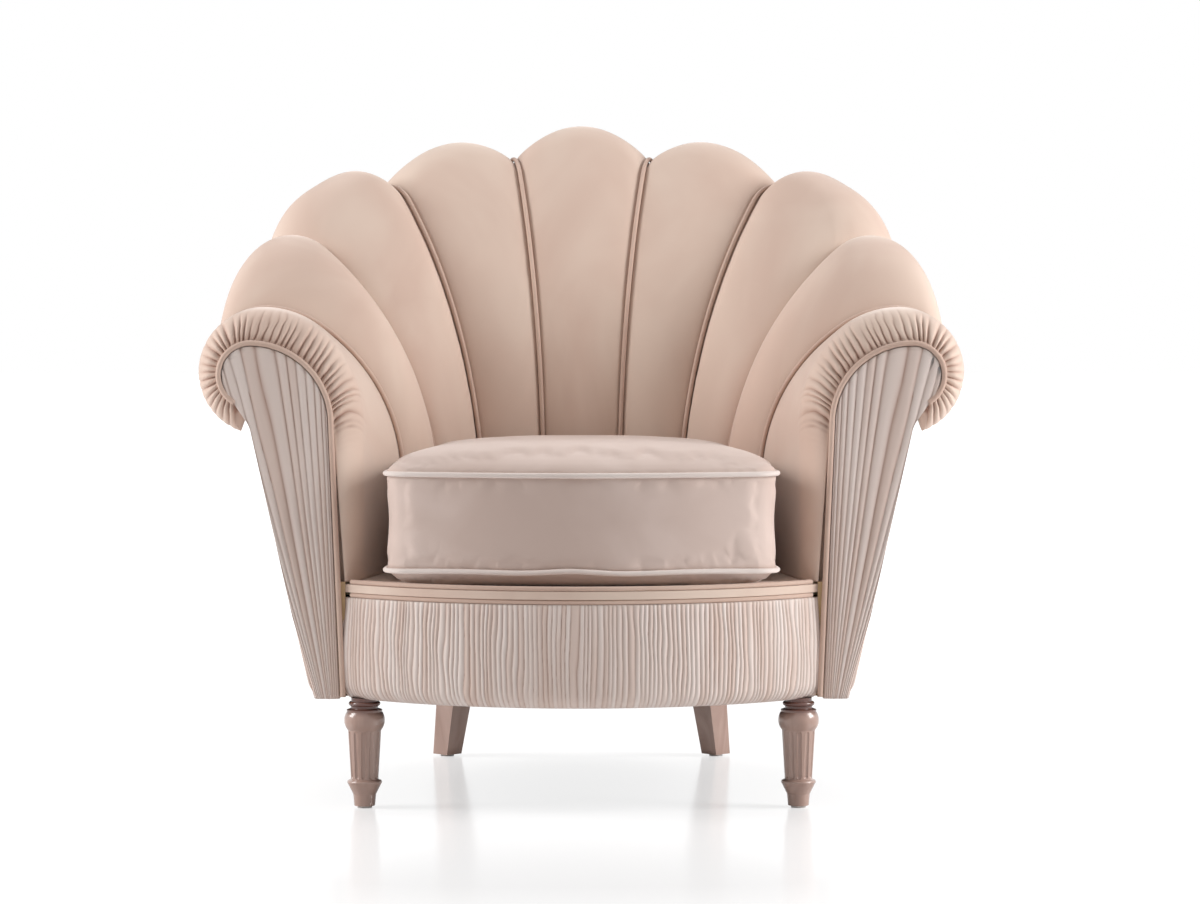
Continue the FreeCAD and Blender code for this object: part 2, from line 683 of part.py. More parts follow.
def front_welt(label, height):
    welt = doc.addObject("Part::Torus", label)
    welt.Label = label
    welt.setExpression("Radius1", "(Sizes.front_half_width^2 + Sizes.front_bow^2) / 2 / Sizes.front_bow"
                                  " - Sizes.piping_radius")
    welt.setExpression("Radius2", "Sizes.piping_radius")
    half = degrees(asin((size("front_half_width") - 2 * CORD) / FRONT_RADIUS))
    welt.Angle3 = 2 * half
    welt.Placement = FreeCAD.Placement(Vector(FRONT_AXIS[0], FRONT_AXIS[1], height),
                                       FreeCAD.Rotation(Vector(0, 0, 1), -90 - half))
    NODES.append(welt)


front_welt("lower_front_welt", LOWER_WELT)
front_welt("upper_front_welt", UPPER_WELT)


# Outside covers
def cover_section(plane):
    outer_top, outer_foot = cover_line(plane, 0)
    inner_top, inner_foot = cover_line(plane, size("cover_thickness"))
    corners = [outer_foot, outer_top, inner_top, inner_foot]
    return section(list(zip(corners, corners[1:] + corners[:1])), plane)


def cover(label, runs):
    """Outside cover: one loft behind each channel, joined at the seams."""
    lofts = [Part.makeLoft([cover_section(plane) for plane in run], True, len(run) == 2) for run in runs]
    whole = lofts[0].multiFuse(lofts[1:]) if len(lofts) > 1 else lofts[0]
    return feature(label, whole)


def outside_arm(label, side):
    nose = mixed(FRONT, ARM, size("arm_nose") / (ARM.y - FRONT.y))
    nose.turn = FRONT.turn
    runs = [(FRONT, nose), (nose, ARM_MIDDLE, ARM), (ARM, SIDE_MIDDLE, WING), (WING, WING_MIDDLE, BACK)]
    cover(label, [tuple(on_side(plane, side) for plane in run) for run in runs])


pair("outside_arm", outside_arm)
cover("outside_back", ALL_PLANES[3:6])


# Deck under the cushion
def deck_outline():
    half = size("front_half_width")
    front = front_arc(size("cover_thickness") + GAP, half)
    behind = FRONT.y + size("rib_thickness") + 3 * GAP
    right = [(half, behind), (FRONT.x + FRONT.pad, behind)]
    right += [tuple(place(p, p.pad, 0)[:2]) for p in (ARM, WING, BACK, CENTRE)]
    points = right + [(-x, y) for x, y in right[::-1]]
    return close([front] + [(a, b) for a, b in zip(points, points[1:])])


level_body("deck_pad", deck_outline(), "Sizes.deck_thickness", DECK_BOTTOM)
level_body("deck_cover", deck_outline(), "Sizes.deck_cover_thickness", DECK_TOP)


def plan_outline(inset):
    return close([front_arc(inset, size("front_half_width"))] + [base_arc(run, inset) for run in ALL_PLANES])


def webbing():
    """Straps from rail to rail, one layer front to back and one across it."""
    width, thickness, pitch = size("web_width"), size("web_thickness"), size("web_pitch")
    inset = size("cover_thickness") + GAP + size("rail_width") - size("web_bearing")
    outline = [front_arc(inset, size("front_half_width"))] + [base_arc(run, inset) for run in ALL_PLANES]
    reach = 2 * CENTRE.base + size("front_bow") + ARM.y - FRONT.y
    region = Part.Face(level(close(outline), RAIL_TOP)).extrude(Vector(0, 0, 3 * thickness))
    straps = []
    for i in range(-2, 4):
        strap = Part.makeBox(width, 2 * reach, thickness,
                             Vector((i - 0.5) * pitch - width / 2, -reach, RAIL_TOP))
        straps.append(strap.common(region).Solids[0])
    for i in range(-3, 2):
        strap = Part.makeBox(2 * reach, width, thickness,
                             Vector(-reach, i * pitch - width / 2, RAIL_TOP + thickness + GAP))
        straps.append(strap.common(region).Solids[0])
    feature("seat_webbing", Part.makeCompound(straps))


webbing()


# Cushion: foam core, wadded cover with a crown and drawn-in boxing, piping and zip
CUSHION_CORNERS = [(0.0, size("cushion_front"), size("cushion_front_round"))]
for name in ("corner", "side"):
    CUSHION_CORNERS.append((size(f"cushion_{name}_x"), size(f"cushion_{name}_y"), size(f"cushion_{name}_round")))
CUSHION_CORNERS.append((size("cushion_rear_x"), size("cushion_rear"), size("cushion_rear_round")))
CUSHION_CORNERS += [(-x, y, turn) for x, y, turn in CUSHION_CORNERS[:0:-1]]


def cushion_outline(inset, share=1.0):
    """The cushion in plan, drawn in evenly by the inset and then towards its middle by a share."""
    corners = []
    count = len(CUSHION_CORNERS)
    middle_y = (size("cushion_front") + size("cushion_rear")) / 2
    for i, (x, y, turn) in enumerate(CUSHION_CORNERS):
        before, after = CUSHION_CORNERS[i - 1], CUSHION_CORNERS[(i + 1) % count]
        back = Vector(before[0] - x, before[1] - y, 0).normalize()
        ahead = Vector(after[0] - x, after[1] - y, 0).normalize()
        move = (back + ahead).normalize() * (inset / sin(back.getAngle(ahead) / 2))
        corners.append(((x + move.x) * share, middle_y + (y + move.y - middle_y) * share, (turn - inset) * share))
    return rounded(corners)


def cushion_solid(inset):
    bottom = SEAT_TOP + GAP + inset
    low, high = size("cushion_bottom_seam"), size("cushion_top_seam")
    half = (low + high) / 2
    boxing = [level(cushion_outline(inset + draw), height)
              for draw, height in ((0, low), (size("cushion_draw"), half), (0, high))]
    rise = size("cushion_crown") - inset
    crown = [level(cushion_outline(inset, share), high + rise * up)
             for share, up in ((1, 0), (0.94, 0.42), (0.8, 0.75), (0.58, 0.93), (0.3, 1))]
    drop = low - bottom
    under = [level(cushion_outline(inset, share), low - drop * down)
             for share, down in ((1, 0), (0.95, 0.7), (0.88, 1))]
    lofts = [Part.makeLoft(wires, True, False) for wires in (boxing, crown, under)]
    return lofts[0].multiFuse(lofts[1:]).removeSplitter()


cover_thickness = size("cushion_cover_thickness")
feature("cushion_cover", cushion_solid(0).cut(cushion_solid(cover_thickness)))
feature("cushion_core", cushion_solid(cover_thickness + GAP))


def cushion_piping(label, height):
    outline = level(cushion_outline(-CORD - GAP), height)
    start = outline.Edges[0].Vertexes[0].Point
    heading = outline.Edges[0].tangentAt(outline.Edges[0].FirstParameter)
    ring = Part.Wire(Part.makeCircle(CORD, start, heading))
    feature(label, outline.makePipeShell([ring], True, False))


cushion_piping("cushion_piping_bottom", size("cushion_bottom_seam"))
cushion_piping("cushion_piping_top", size("cushion_top_seam"))


# Zip in the rear boxing, with its slider and pull tab
ZIP_FACE = size("cushion_rear") - size("cushion_draw") + GAP
ZIP_HEIGHT = (size("cushion_bottom_seam") + size("cushion_top_seam")) / 2
COIL_FACE = ZIP_FACE + size("zip_tape") + size("zip_coil")
SLIDER_X = -size("zip_length") / 2 + size("slider_stop")
SLIDER_FACE = COIL_FACE + GAP + size("slider_height")
PIN_Y = SLIDER_FACE + 2 * size("pull_thickness")
PIN_Z = ZIP_HEIGHT + size("slider_width") / 4


def box(label, sides, low):
    """A block whose sides are expressions of the sheet's names, from its lowest corner."""
    made = doc.addObject("Part::Box", label)
    for side, expression in zip(("Length", "Width", "Height"), sides):
        made.setExpression(side, expression)
    made.Placement = FreeCAD.Placement(Vector(*low), FreeCAD.Rotation())
    return made


def rod(label, radius, length, start, rotation=None):
    made = doc.addObject("Part::Cylinder", label)
    made.setExpression("Radius", radius)
    made.setExpression("Height", length)
    made.Placement = FreeCAD.Placement(Vector(*start), rotation or FreeCAD.Rotation())
    return made


def joined(label, members):
    made = doc.addObject("Part::MultiFuse", label)
    made.Label = label
    made.Shapes = members
    NODES.append(made)
    return made


ALONG_X = FreeCAD.Rotation(Vector(0, 1, 0), 90)
tape_low = (-size("zip_length") / 2, ZIP_FACE, ZIP_HEIGHT - size("zip_width") / 2)
coil_low = (-size("zip_length") / 2, ZIP_FACE + size("zip_tape"), ZIP_HEIGHT - size("zip_coil_width") / 2)
joined("zip_chain", [
    box("zip_tape", ("Sizes.zip_length", "Sizes.zip_tape", "Sizes.zip_width"), tape_low),
    box("zip_coil", ("Sizes.zip_length", "Sizes.zip_coil", "Sizes.zip_coil_width"), coil_low)])

slider_low = (SLIDER_X - size("slider_length") / 2, COIL_FACE + GAP, ZIP_HEIGHT - size("slider_width") / 2)
ear = size("pull_thickness")
ear_top = PIN_Y - SLIDER_FACE + size("pull_pin") + GAP
eye_half = size("pull_width") / 2 + GAP
slider_members = [box("slider_plate", ("Sizes.slider_length", "Sizes.slider_height", "Sizes.slider_width"),
                      slider_low)]
for side in (1, -1):
    low_x = SLIDER_X + side * (eye_half + ear / 2) - ear / 2
    slider_members.append(box(f"slider_ear_{side}", ("Sizes.pull_thickness",
                                                     f"{ear_top}", "Sizes.pull_pin * 4"),
                              (low_x, SLIDER_FACE, PIN_Z - 2 * size("pull_pin"))))
slider_members.append(rod("slider_pin", "Sizes.pull_pin", "Sizes.pull_width + 2 * Sizes.fit_gap",
                          (SLIDER_X - eye_half, PIN_Y, PIN_Z), ALONG_X))
joined("zip_slider", slider_members)


def pull_tab():
    """Tab with a bored eye round the slider's pin."""
    half = size("pull_width") / 2
    eye = size("pull_pin") + 2 * GAP + size("pull_thickness") / 2
    barrel = rod("pull_eye", f"{eye}", "Sizes.pull_width", (SLIDER_X - half, PIN_Y, PIN_Z), ALONG_X)
    blade = box("pull_blade", ("Sizes.pull_width", "Sizes.pull_thickness", "Sizes.pull_length"),
                (SLIDER_X - half, PIN_Y - size("pull_thickness") / 2, PIN_Z - size("pull_length")))
    bore = rod("pull_bore", "Sizes.pull_pin + Sizes.fit_gap", "Sizes.pull_width + 2",
               (SLIDER_X - half - 1, PIN_Y, PIN_Z), ALONG_X)
    whole = doc.addObject("Part::MultiFuse", "pull_whole")
    whole.Shapes = [barrel, blade]
    tab = doc.addObject("Part::Cut", "zip_pull")
    tab.Label = "zip_pull"
    tab.Base = whole
    tab.Tool = bore
    NODES.append(tab)


pull_tab()


# Legs, glides and hanger bolts
def leg_holes(body, top, foot):
    radius = size("bolt_radius") + GAP
    pocket(body, [(top, radius)], "Sizes.bolt_in_leg + Sizes.fit_gap", LEG_TOP, False)
    pin = size("glide_pin") + GAP
    pocket(body, [(foot, pin)], "Sizes.glide_pin_length + Sizes.fit_gap", size("glide_height"), True)


def front_leg(label, side):
    """Turned leg: collar, bulb, a tapered shaft with flutes, and a ring above the foot."""
    neck, collar, bulb = size("leg_neck"), size("leg_collar"), size("leg_bulb")
    shaft_top, shaft_foot, ring = size("leg_shaft_top"), size("leg_shaft_foot"), size("leg_ring")
    collar_z, bulb_z, ring_z = size("leg_collar_height"), size("leg_bulb_height"), size("leg_ring_height")
    shaft_top_z, shaft_foot_z = bulb_z - 13, ring_z + 4
    foot_z = size("glide_height")
    outline = [
        ((0, foot_z), (size("leg_foot"), foot_z)),
        ((size("leg_foot"), foot_z), (size("leg_ankle"), size("leg_ankle_height"))),
        ((size("leg_ankle"), size("leg_ankle_height")), (ring, ring_z - 2)),
        ((ring, ring_z - 2), (ring + 0.8, ring_z), (ring, ring_z + 2)),
        ((ring, ring_z + 2), (shaft_foot, shaft_foot_z)),
        ((shaft_foot, shaft_foot_z), (shaft_top, shaft_top_z)),
        ((shaft_top, shaft_top_z), (shaft_top + 1, shaft_top_z + 1.5)),
        ((shaft_top + 1, shaft_top_z + 1.5), (bulb, bulb_z), (shaft_top + 1.5, bulb_z + 12)),
        ((shaft_top + 1.5, bulb_z + 12), (shaft_top + 1.5, bulb_z + 15)),
        ((shaft_top + 1.5, bulb_z + 15), (neck + 0.5, bulb_z + 17)),
        ((neck + 0.5, bulb_z + 17), (neck + 0.5, collar_z - 3)),
        ((neck + 0.5, collar_z - 3), (collar, collar_z), (neck, collar_z + 3)),
        ((neck, collar_z + 3), (neck, LEG_TOP)),
        ((neck, LEG_TOP), (0, LEG_TOP)),
        ((0, LEG_TOP), (0, foot_z)),
    ]
    axis = Vector(size("front_leg_x") * side, size("front_leg_y"), 0)
    body = new_body(label, FreeCAD.Placement(axis, FreeCAD.Rotation()))
    turned = body.newObject("PartDesign::Revolution", f"{label}_turning")
    turned.Profile = add_sketch(body, "XZ_Plane", outline)
    turned.ReferenceAxis = (turned.Profile[0], ["V_Axis"])
    turned.Angle = 360
    doc.recompute()
    before = body.Shape.Volume
    # The flute is cut by a capsule that lies along the slope of the shaft.
    cutter, deep = size("flute_radius"), size("flute_radius") - size("flute_depth")
    low = Vector(shaft_foot + deep, shaft_foot_z + cutter, 0)
    high = Vector(shaft_top + deep, shaft_top_z - cutter, 0)
    rise = (high - low).normalize()
    out = Vector(rise.y, -rise.x, 0)
    capsule = [low - rise * cutter, high + rise * cutter, high + out * cutter, low + out * cutter]
    bend = sqrt(0.5)
    upper = high + (rise + out) * cutter * bend
    lower = low + (out - rise) * cutter * bend
    pieces = [(capsule[0], capsule[1]), (capsule[1], upper, capsule[2]), (capsule[2], capsule[3]),
              (capsule[3], lower, capsule[0])]
    pieces = [tuple((p.x, p.y) for p in piece) for piece in pieces]
    flute = body.newObject("PartDesign::Groove", f"{label}_flute")
    flute.Profile = add_sketch(body, "XZ_Plane", pieces)
    flute.ReferenceAxis = (flute.Profile[0], ["Edge1"])
    flute.Angle = 360
    flutes = body.newObject("PartDesign::PolarPattern", f"{label}_flutes")
    flutes.Originals = [flute]
    flutes.Axis = (turned.Profile[0], ["V_Axis"])
    flutes.Angle = 360
    flutes.setExpression("Occurrences", "Sizes.flute_count")
    body.Tip = flutes
    doc.recompute()
    if body.Shape.Volume > before - 1:
        raise RuntimeError(f"{label}: the flutes cut nothing")
    leg_holes(body, (0.0, 0.0), (0.0, 0.0))


def square(side, centre):
    """A square whose corners point forward, back and to both sides."""
    reach = side / sqrt(2)
    tips = [(centre[0] + reach, centre[1]), (centre[0], centre[1] + reach),
            (centre[0] - reach, centre[1]), (centre[0], centre[1] - reach)]
    return list(zip(tips, tips[1:] + tips[:1]))


def rear_leg(label, side):
    top = (size("rear_leg_x") * side, size("rear_leg_y"))
    foot = (size("rear_foot_x") * side, size("rear_foot_y"))
    body = new_body(label)
    loft = body.newObject("PartDesign::AdditiveLoft", f"{label}_loft")
    loft.Profile = add_sketch(body, "XY_Plane", square(size("rear_leg_foot"), foot), size("glide_height"))
    loft.Sections = [(add_sketch(body, "XY_Plane", square(size("rear_leg_top"), top), LEG_TOP), [""])]
    leg_holes(body, top, foot)


pair("front_leg", front_leg)
pair("rear_leg", rear_leg)

bolts = []
glides = []
for name, foot in (("front_leg", LEGS["front_leg"]), ("rear_leg", (size("rear_foot_x"), size("rear_foot_y")))):
    for side in (1, -1):
        x, y = LEGS[name]
        bolts.append(rod(f"{name}_bolt_{side}", "Sizes.bolt_radius",
                         "Sizes.bolt_in_leg + Sizes.leg_gap + Sizes.bolt_in_rail",
                         (x * side, y, LEG_TOP - size("bolt_in_leg"))))
        glide = new_body(f"{name}_glide_{side}", FreeCAD.Placement(Vector(foot[0] * side, foot[1], 0),
                                                                   FreeCAD.Rotation()))
        pad(glide, "XY_Plane", [((0.0, 0.0), size("glide_radius"))], "Sizes.glide_height")
        pad(glide, "XY_Plane", [((0.0, 0.0), size("glide_pin"))], "Sizes.glide_height + Sizes.glide_pin_length")
        glides.append(glide)
NODES += bolts
gather("hanger_bolts", bolts)
gather("leg_glides", glides)


# Corner blocks and dust cover
def front_block(side):
    inset = size("cover_thickness") + size("cover_slack") + size("rail_width") + GAP
    radius = FRONT_RADIUS - inset
    beside = FRONT.x + FRONT.base - inset
    on_rail = [(x, FRONT_AXIS[1] - sqrt(radius ** 2 - x ** 2)) for x in (beside, size("block_front_x"))]
    points = on_rail + [(beside, on_rail[0][1] + size("block_length"))]
    points = [(x * side, y) for x, y in points]
    return level_body(f"front_block_{side}", list(zip(points, points[1:] + points[:1])),
                      "Sizes.block_height", BASE)


def rear_block(side):
    inset = size("cover_thickness") + size("cover_slack") + size("rail_width") + size("block_gap")
    points = [place(p, p.base - inset, 0) for p in (SIDE_MIDDLE, WING_MIDDLE)]
    points += [place(p, p.base - inset - size("block_width"), 0) for p in (WING_MIDDLE, SIDE_MIDDLE)]
    points = [(p.x * side, p.y) for p in points]
    return level_body(f"rear_block_{side}", list(zip(points, points[1:] + points[:1])),
                      "Sizes.block_height", BASE)


gather("corner_blocks", [make(side) for make in (front_block, rear_block) for side in (1, -1)])
level_body("dust_cover", plan_outline(size("dust_cover_inset")), "Sizes.dust_cover_thickness",
           BASE - GAP - size("dust_cover_thickness"), bolt_holes(["front_leg", "rear_leg"]))


# Every object must have been made, and every piece must be a whole solid, before files are written.
doc.recompute()
for made in doc.Objects:
    if "Invalid" in made.State or "Error" in made.State:
        raise RuntimeError(f"{made.Label}: {made.State}")
for made in NODES:
    if made.Shape.isNull() or not made.Shape.isValid() or not made.Shape.Solids:
        raise RuntimeError(f"{made.Label} is not a valid solid")
for made in NODES:
    made.Shape.exportStep(f"parts/{made.Label}.step")
print(len(NODES), "pieces written")
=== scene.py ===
"""Looks of the scallop back chair, built round its packed CAD frame.

The upholstery is worked out with numpy from driving sizes close to those of the part's source. The
photo decides between them where the solids' outline allows it. Sizes are in millimetres and turns in
degrees, lamps and camera in metres. X is the sitter's left, Y the back and Z up.
"""

import json
from math import cos, radians, sin
from types import SimpleNamespace

import bpy
import numpy as np
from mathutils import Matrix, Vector
from mathutils.kdtree import KDTree


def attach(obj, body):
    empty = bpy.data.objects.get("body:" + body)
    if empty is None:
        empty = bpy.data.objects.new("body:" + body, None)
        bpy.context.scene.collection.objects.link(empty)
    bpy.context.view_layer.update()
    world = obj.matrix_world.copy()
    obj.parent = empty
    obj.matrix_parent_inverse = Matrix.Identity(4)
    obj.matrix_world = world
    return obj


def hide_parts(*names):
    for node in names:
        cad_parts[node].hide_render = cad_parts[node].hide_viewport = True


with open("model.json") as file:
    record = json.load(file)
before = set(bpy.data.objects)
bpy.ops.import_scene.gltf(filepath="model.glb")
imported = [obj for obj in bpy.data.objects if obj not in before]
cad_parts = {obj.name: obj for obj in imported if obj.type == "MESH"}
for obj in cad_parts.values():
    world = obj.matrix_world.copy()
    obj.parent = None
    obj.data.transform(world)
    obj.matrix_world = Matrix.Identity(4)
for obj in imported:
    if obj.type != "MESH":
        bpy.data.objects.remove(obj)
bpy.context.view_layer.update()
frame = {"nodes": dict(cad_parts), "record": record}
MM = 0.001

WHITE = (1, 1, 1, 1)

# Sections at the sewn seams: plan point, turn from +Y, top, reach of the roll's axis, radius of the
# shoulder, lean of the long arc, radius of the roll, reach of the base, and how far the pleated cover
# is drawn in below the roll.
SEAM_SIZES = ("x", "y", "turn", "top", "reach", "shoulder", "lean", "roll", "base", "tuck")
SEAMS = {
    "arm": (256, -17, 94, 671, 191, 134, 57, 70, 121, 3),
    "wing": (206, 75, 68.5, 764, 213, 60, 49, 66, 139, 4),
    "back": (143, 136, 39.5, 852, 226, 60, 41.5, 64, 150, 0),
    "centre": (56, 151, 12.5, 895, 216, 60, 39, 62, 168, 0),
    "front": (303, -297, 90, 674, 126, 122, 45, 88, 70, 9),
}
# Top of each channel's middle, how far its crest bows out beyond its seams, and how full it is: the
# power of the curve that runs from seam to seam.
MIDDLES = {"side": (766, 5, 2.2), "wing": (862, 30, 3.0), "back": (921, 18, 2), "centre": (948, 14, 2)}
# How far the middle of each seam's cord stands above the valley.
PIPING_RISE = {"arm": 3.2, "wing": 2.8, "back": 2.6, "centre": 2.4}
ARM_MIDDLE_BOW = 5
ARM_MIDDLE_RISE = 3
CURL = 160  # turn of a roll from its top round behind
PAD = 43
ARM_PAD = 56
PAD_BOTTOM = 306
BULGE = 15  # of a channel's middle in front of its seams
PLAN_ROUND = 330  # radius of the base between two seams
CORD = 3.2  # radius of the piping
BASE = 150  # height of the shell's lower edge
COVER_INSET = 14  # of the outside cover's top inside the roll
BORDER_TOP = 285
BORDER_THICKNESS = 12
FRONT_HALF_WIDTH = 318
FRONT_BOW = 140


# Curves and small helpers
def smooth(value, low, high):
    """Ease from 0 to 1 between two limits, by 3 s squared less 2 s cubed."""
    share = np.clip((value - low) / (high - low), 0, 1)
    return share * share * (3 - 2 * share)


def wander(value, pitch, seed):
    """A smooth random curve from -1 to 1: one random height every pitch, with eased steps between."""
    heights = np.random.default_rng(seed).uniform(-1, 1, 997)
    place = np.asarray(value, float) / pitch + 200
    below = np.floor(place).astype(int)
    share = smooth(place - below, 0, 1)
    return heights[below % 997] * (1 - share) + heights[(below + 1) % 997] * share


def run_length(points, axis=0):
    """Length along rows or columns of points, from the first one."""
    steps = np.linalg.norm(np.diff(points, axis=axis), axis=-1)
    start = np.zeros_like(np.take(steps, [0], axis=axis))
    return np.concatenate([start, np.cumsum(steps, axis=axis)], axis=axis)


def spread(points, count):
    """The same curve with its points at even lengths."""
    length = run_length(points)
    even = np.linspace(0, length[-1], count)
    return np.stack([np.interp(even, length, points[:, i]) for i in range(points.shape[1])], axis=1)


def outward(points):
    """Unit normals of a grid of points, from its slopes along rows and columns."""
    normal = np.cross(np.gradient(points, axis=0), np.gradient(points, axis=1))
    return normal / np.maximum(np.linalg.norm(normal, axis=-1, keepdims=True), 1e-9)


def arc(centre, radius, start, end, count):
    """Points of an arc in a plane, from one turn to another."""
    turn = np.radians(np.linspace(start, end, count))
    return np.stack([centre[0] + radius * np.cos(turn), centre[1] + radius * np.sin(turn)], axis=1)


def fallen(share, depth):
    """How far a rounded edge falls back: the whole depth at a share of 0 and nothing at 1, along a
    quarter of an ellipse."""
    return depth * (1 - np.sqrt(1 - (1 - share) ** 2))


# Meshes
def placed(name, data):
    """A new object in the scene."""
    made = bpy.data.objects.new(name, data)
    bpy.context.scene.collection.objects.link(made)
    return made


def skin(name, rings, looped=False, crease=None, fold_highlight=None):
    """A skin over rings of points in millimetres, each closed on itself. The ends are closed by flat
    caps unless the rings run round in a loop. Faces are turned outwards by the volume's sign."""
    rows, count = rings.shape[:2]
    index = np.arange(rows * count).reshape(rows, count)
    ahead = np.roll(index, -1, axis=0) if looped else index[1:]
    here = index if looped else index[:-1]
    sides = [here, ahead, np.roll(ahead, -1, axis=1), np.roll(here, -1, axis=1)]
    quads = np.stack(sides, axis=-1).reshape(-1, 4)
    corners = rings.reshape(-1, 3) * MM
    a, b, c, d = (corners[quads[:, i]] for i in range(4))
    volume = np.einsum("ij,ij->", a, np.cross(b, c)) + np.einsum("ij,ij->", a, np.cross(c, d))
    faces = quads.tolist()
    if not looped:
        faces += [index[0].tolist(), index[-1, ::-1].tolist()]
    if volume < 0:
        faces = [face[::-1] for face in faces]
    mesh = bpy.data.meshes.new(name)
    mesh.from_pydata(corners, [], faces)
    mesh.polygons.foreach_set("use_smooth", np.ones(len(faces), bool))
    # values for the materials: the crease value paints shade into folds, the fold highlight value paints a
    # satin highlight on some folds
    for label, values in (("crease", crease), ("fold_highlight", fold_highlight)):
        if values is not None:
            layer = mesh.attributes.new(label, "FLOAT", "POINT")
            layer.data.foreach_set("value", np.asarray(values, np.float32).ravel())
    mesh.update()
    return placed(name, mesh)


def dress(made, material, slot, body, *nodes):
    """Give a piece its material and the body it rides on, and let it stand for its CAD nodes."""
    made.data.materials.append(material)
    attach(made, body)
    if nodes:
        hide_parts(*nodes)
    return made


def cord(name, path, radius=CORD, looped=False):
    """A round cord along a path: circles square to the path, carried with the least twist."""
    if looped:
        tangent = np.roll(path, -1, axis=0) - np.roll(path, 1, axis=0)
    else:
        tangent = np.gradient(path, axis=0)
    tangent /= np.linalg.norm(tangent, axis=1, keepdims=True)
    flat = np.linalg.svd(path - path.mean(axis=0))[2][2]
    side = np.cross(tangent, flat)
    side /= np.linalg.norm(side, axis=1, keepdims=True)
    up = np.cross(side, tangent)
    turn = np.linspace(0, 2 * np.pi, 13)[:-1]
    ring = np.cos(turn)[None, :, None] * side[:, None] + np.sin(turn)[None, :, None] * up[:, None]
    return skin(name, path[:, None] + radius * ring, looped)


# Planes and sections of the shell
def station(seam):
    """The plane of a seam with the sizes of its section."""
    thickness = ARM_PAD if seam == "front" else PAD
    sizes = dict(zip(SEAM_SIZES, SEAMS[seam]))
    return SimpleNamespace(toe=0.0, curl=CURL, pad=thickness, **sizes)


def mirrored(plane):
    """The same plane on the chair's other side."""
    return SimpleNamespace(**dict(vars(plane), x=-plane.x, turn=-plane.turn))


def mixed(first, second, share):
    """A plane whose sizes lie between those of two others."""
    values = vars(second)
    return SimpleNamespace(**{k: v + (values[k] - v) * share for k, v in vars(first).items()})


def place(plane, reach, height):
    """Points at a reach and a height in a plane."""
    out = np.array([sin(radians(plane.turn)), cos(radians(plane.turn))])
    reach, height = np.broadcast_arrays(reach, height)
    return np.stack([plane.x + out[0] * reach, plane.y + out[1] * reach, height], axis=-1)


def between(first, second, crest, bow):
    """The plane through the middle of a channel, which stands in front of its seams by the bulge and
    whose top and base stand outside the lines that join theirs."""
    plane = mixed(first, second, 0.5)
    out = np.array([sin(radians(plane.turn)), cos(radians(plane.turn))])
    foot = np.array([plane.x, plane.y]) - out * BULGE
    top = (place(first, first.reach, 0) + place(second, second.reach, 0))[:2] / 2
    ends = [place(p, p.base, 0)[:2] for p in (first, second)]
    chord = np.linalg.norm(ends[1] - ends[0])
    base = (ends[0] + ends[1]) / 2 + out * chord ** 2 / 8 / PLAN_ROUND
    plane.x, plane.y, plane.top = foot[0], foot[1], crest
    plane.reach = (top - foot) @ out + bow
    plane.base = (base - foot) @ out
    return plane


def hook(plane, step, inset=0.0):
    """Reach and height along a section, at steps from 0 to 4: a plumb line, a long arc that leans out,
    a shoulder arc to the top, and a roll that curls down behind, all moved in by the inset."""
    lean = radians(plane.lean)
    long_radius = (plane.reach - plane.shoulder * cos(lean)) / (1 - cos(lean))
    plumb = plane.top - plane.shoulder * (1 - sin(lean)) - long_radius * sin(lean)
    turn = np.radians(np.interp(step, [1, 2, 3, 4], [180, 180 - plane.lean, 90, 90 - plane.curl]))
    arcs = [step < 2, step < 3]
    axis_reach = np.select([step < 2], [long_radius], plane.reach)
    axis_height = np.select(arcs, [plumb, plane.top - plane.shoulder], plane.top - plane.roll)
    radius = np.select(arcs, [long_radius, plane.shoulder], plane.roll) - inset
    straight = np.clip(step, 0, 1)
    reach = np.where(step < 1, inset - plane.toe * (1 - straight), axis_reach + radius * np.cos(turn))
    height = np.where(step < 1, PAD_BOTTOM + (plumb - PAD_BOTTOM) * straight,
                      axis_height + radius * np.sin(turn))
    return reach, height


def cover_line(plane):
    """Top and bottom of a line in the outside cover."""
    end = radians(90 - plane.curl)
    radius = plane.roll - COVER_INSET
    reach = plane.reach + radius * cos(end) - plane.tuck
    height = plane.top - plane.roll + radius * sin(end)
    return place(plane, reach, height), place(plane, plane.base - plane.tuck, BASE)


FRONT, ARM, WING, BACK, CENTRE = (station(name) for name in ("front", "arm", "wing", "back", "centre"))
ARM_MIDDLE = mixed(FRONT, ARM, 0.5)
ARM_MIDDLE.base += ARM_MIDDLE_BOW
ARM_MIDDLE.top += ARM_MIDDLE_RISE
CHANNELS = {}
for name, first, second in (("side", ARM, WING), ("wing", WING, BACK), ("back", BACK, CENTRE),
                            ("centre", CENTRE, mirrored(CENTRE))):
    crest, bow, _ = MIDDLES[name]
    CHANNELS[name] = (first, between(first, second, crest, bow), second)
SIDES = {"left": 1, "right": -1}


def on_side(planes, side):
    """Planes of the left side, or their mirrored copies."""
    return tuple(planes) if side > 0 else tuple(mirrored(plane) for plane in planes)


def bowed(first, middle, second, across, power=2):
    """Rows of points from one line to another, straight from end to end plus a bow, 1 less a power of
    the way across, that takes the middle row through the middle line."""
    share = ((1 + across) / 2)[None, :, None]
    chord = first[:, None] * (1 - share) + second[:, None] * share
    full = (1 - np.abs(across) ** power)[None, :, None]
    return chord + full * (middle - (first + second) / 2)[:, None]


# Materials
def nodes_of(name):
    """A new material with its tree and its shader."""
    material = bpy.data.materials.new(name)
    material.use_nodes = True
    tree = material.node_tree
    return material, tree, tree.nodes["Principled BSDF"]


def join(tree, value, socket):
    """Link a socket to another node's, or set it where the value is plain."""
    if isinstance(value, bpy.types.NodeSocket):
        tree.links.new(value, socket)
    else:
        socket.default_value = value


def put(tree, node, **inputs):
    """Link or set a node's sockets by name."""
    for name, value in inputs.items():
        join(tree, value, node.inputs[name.replace("_", " ")])
    return node


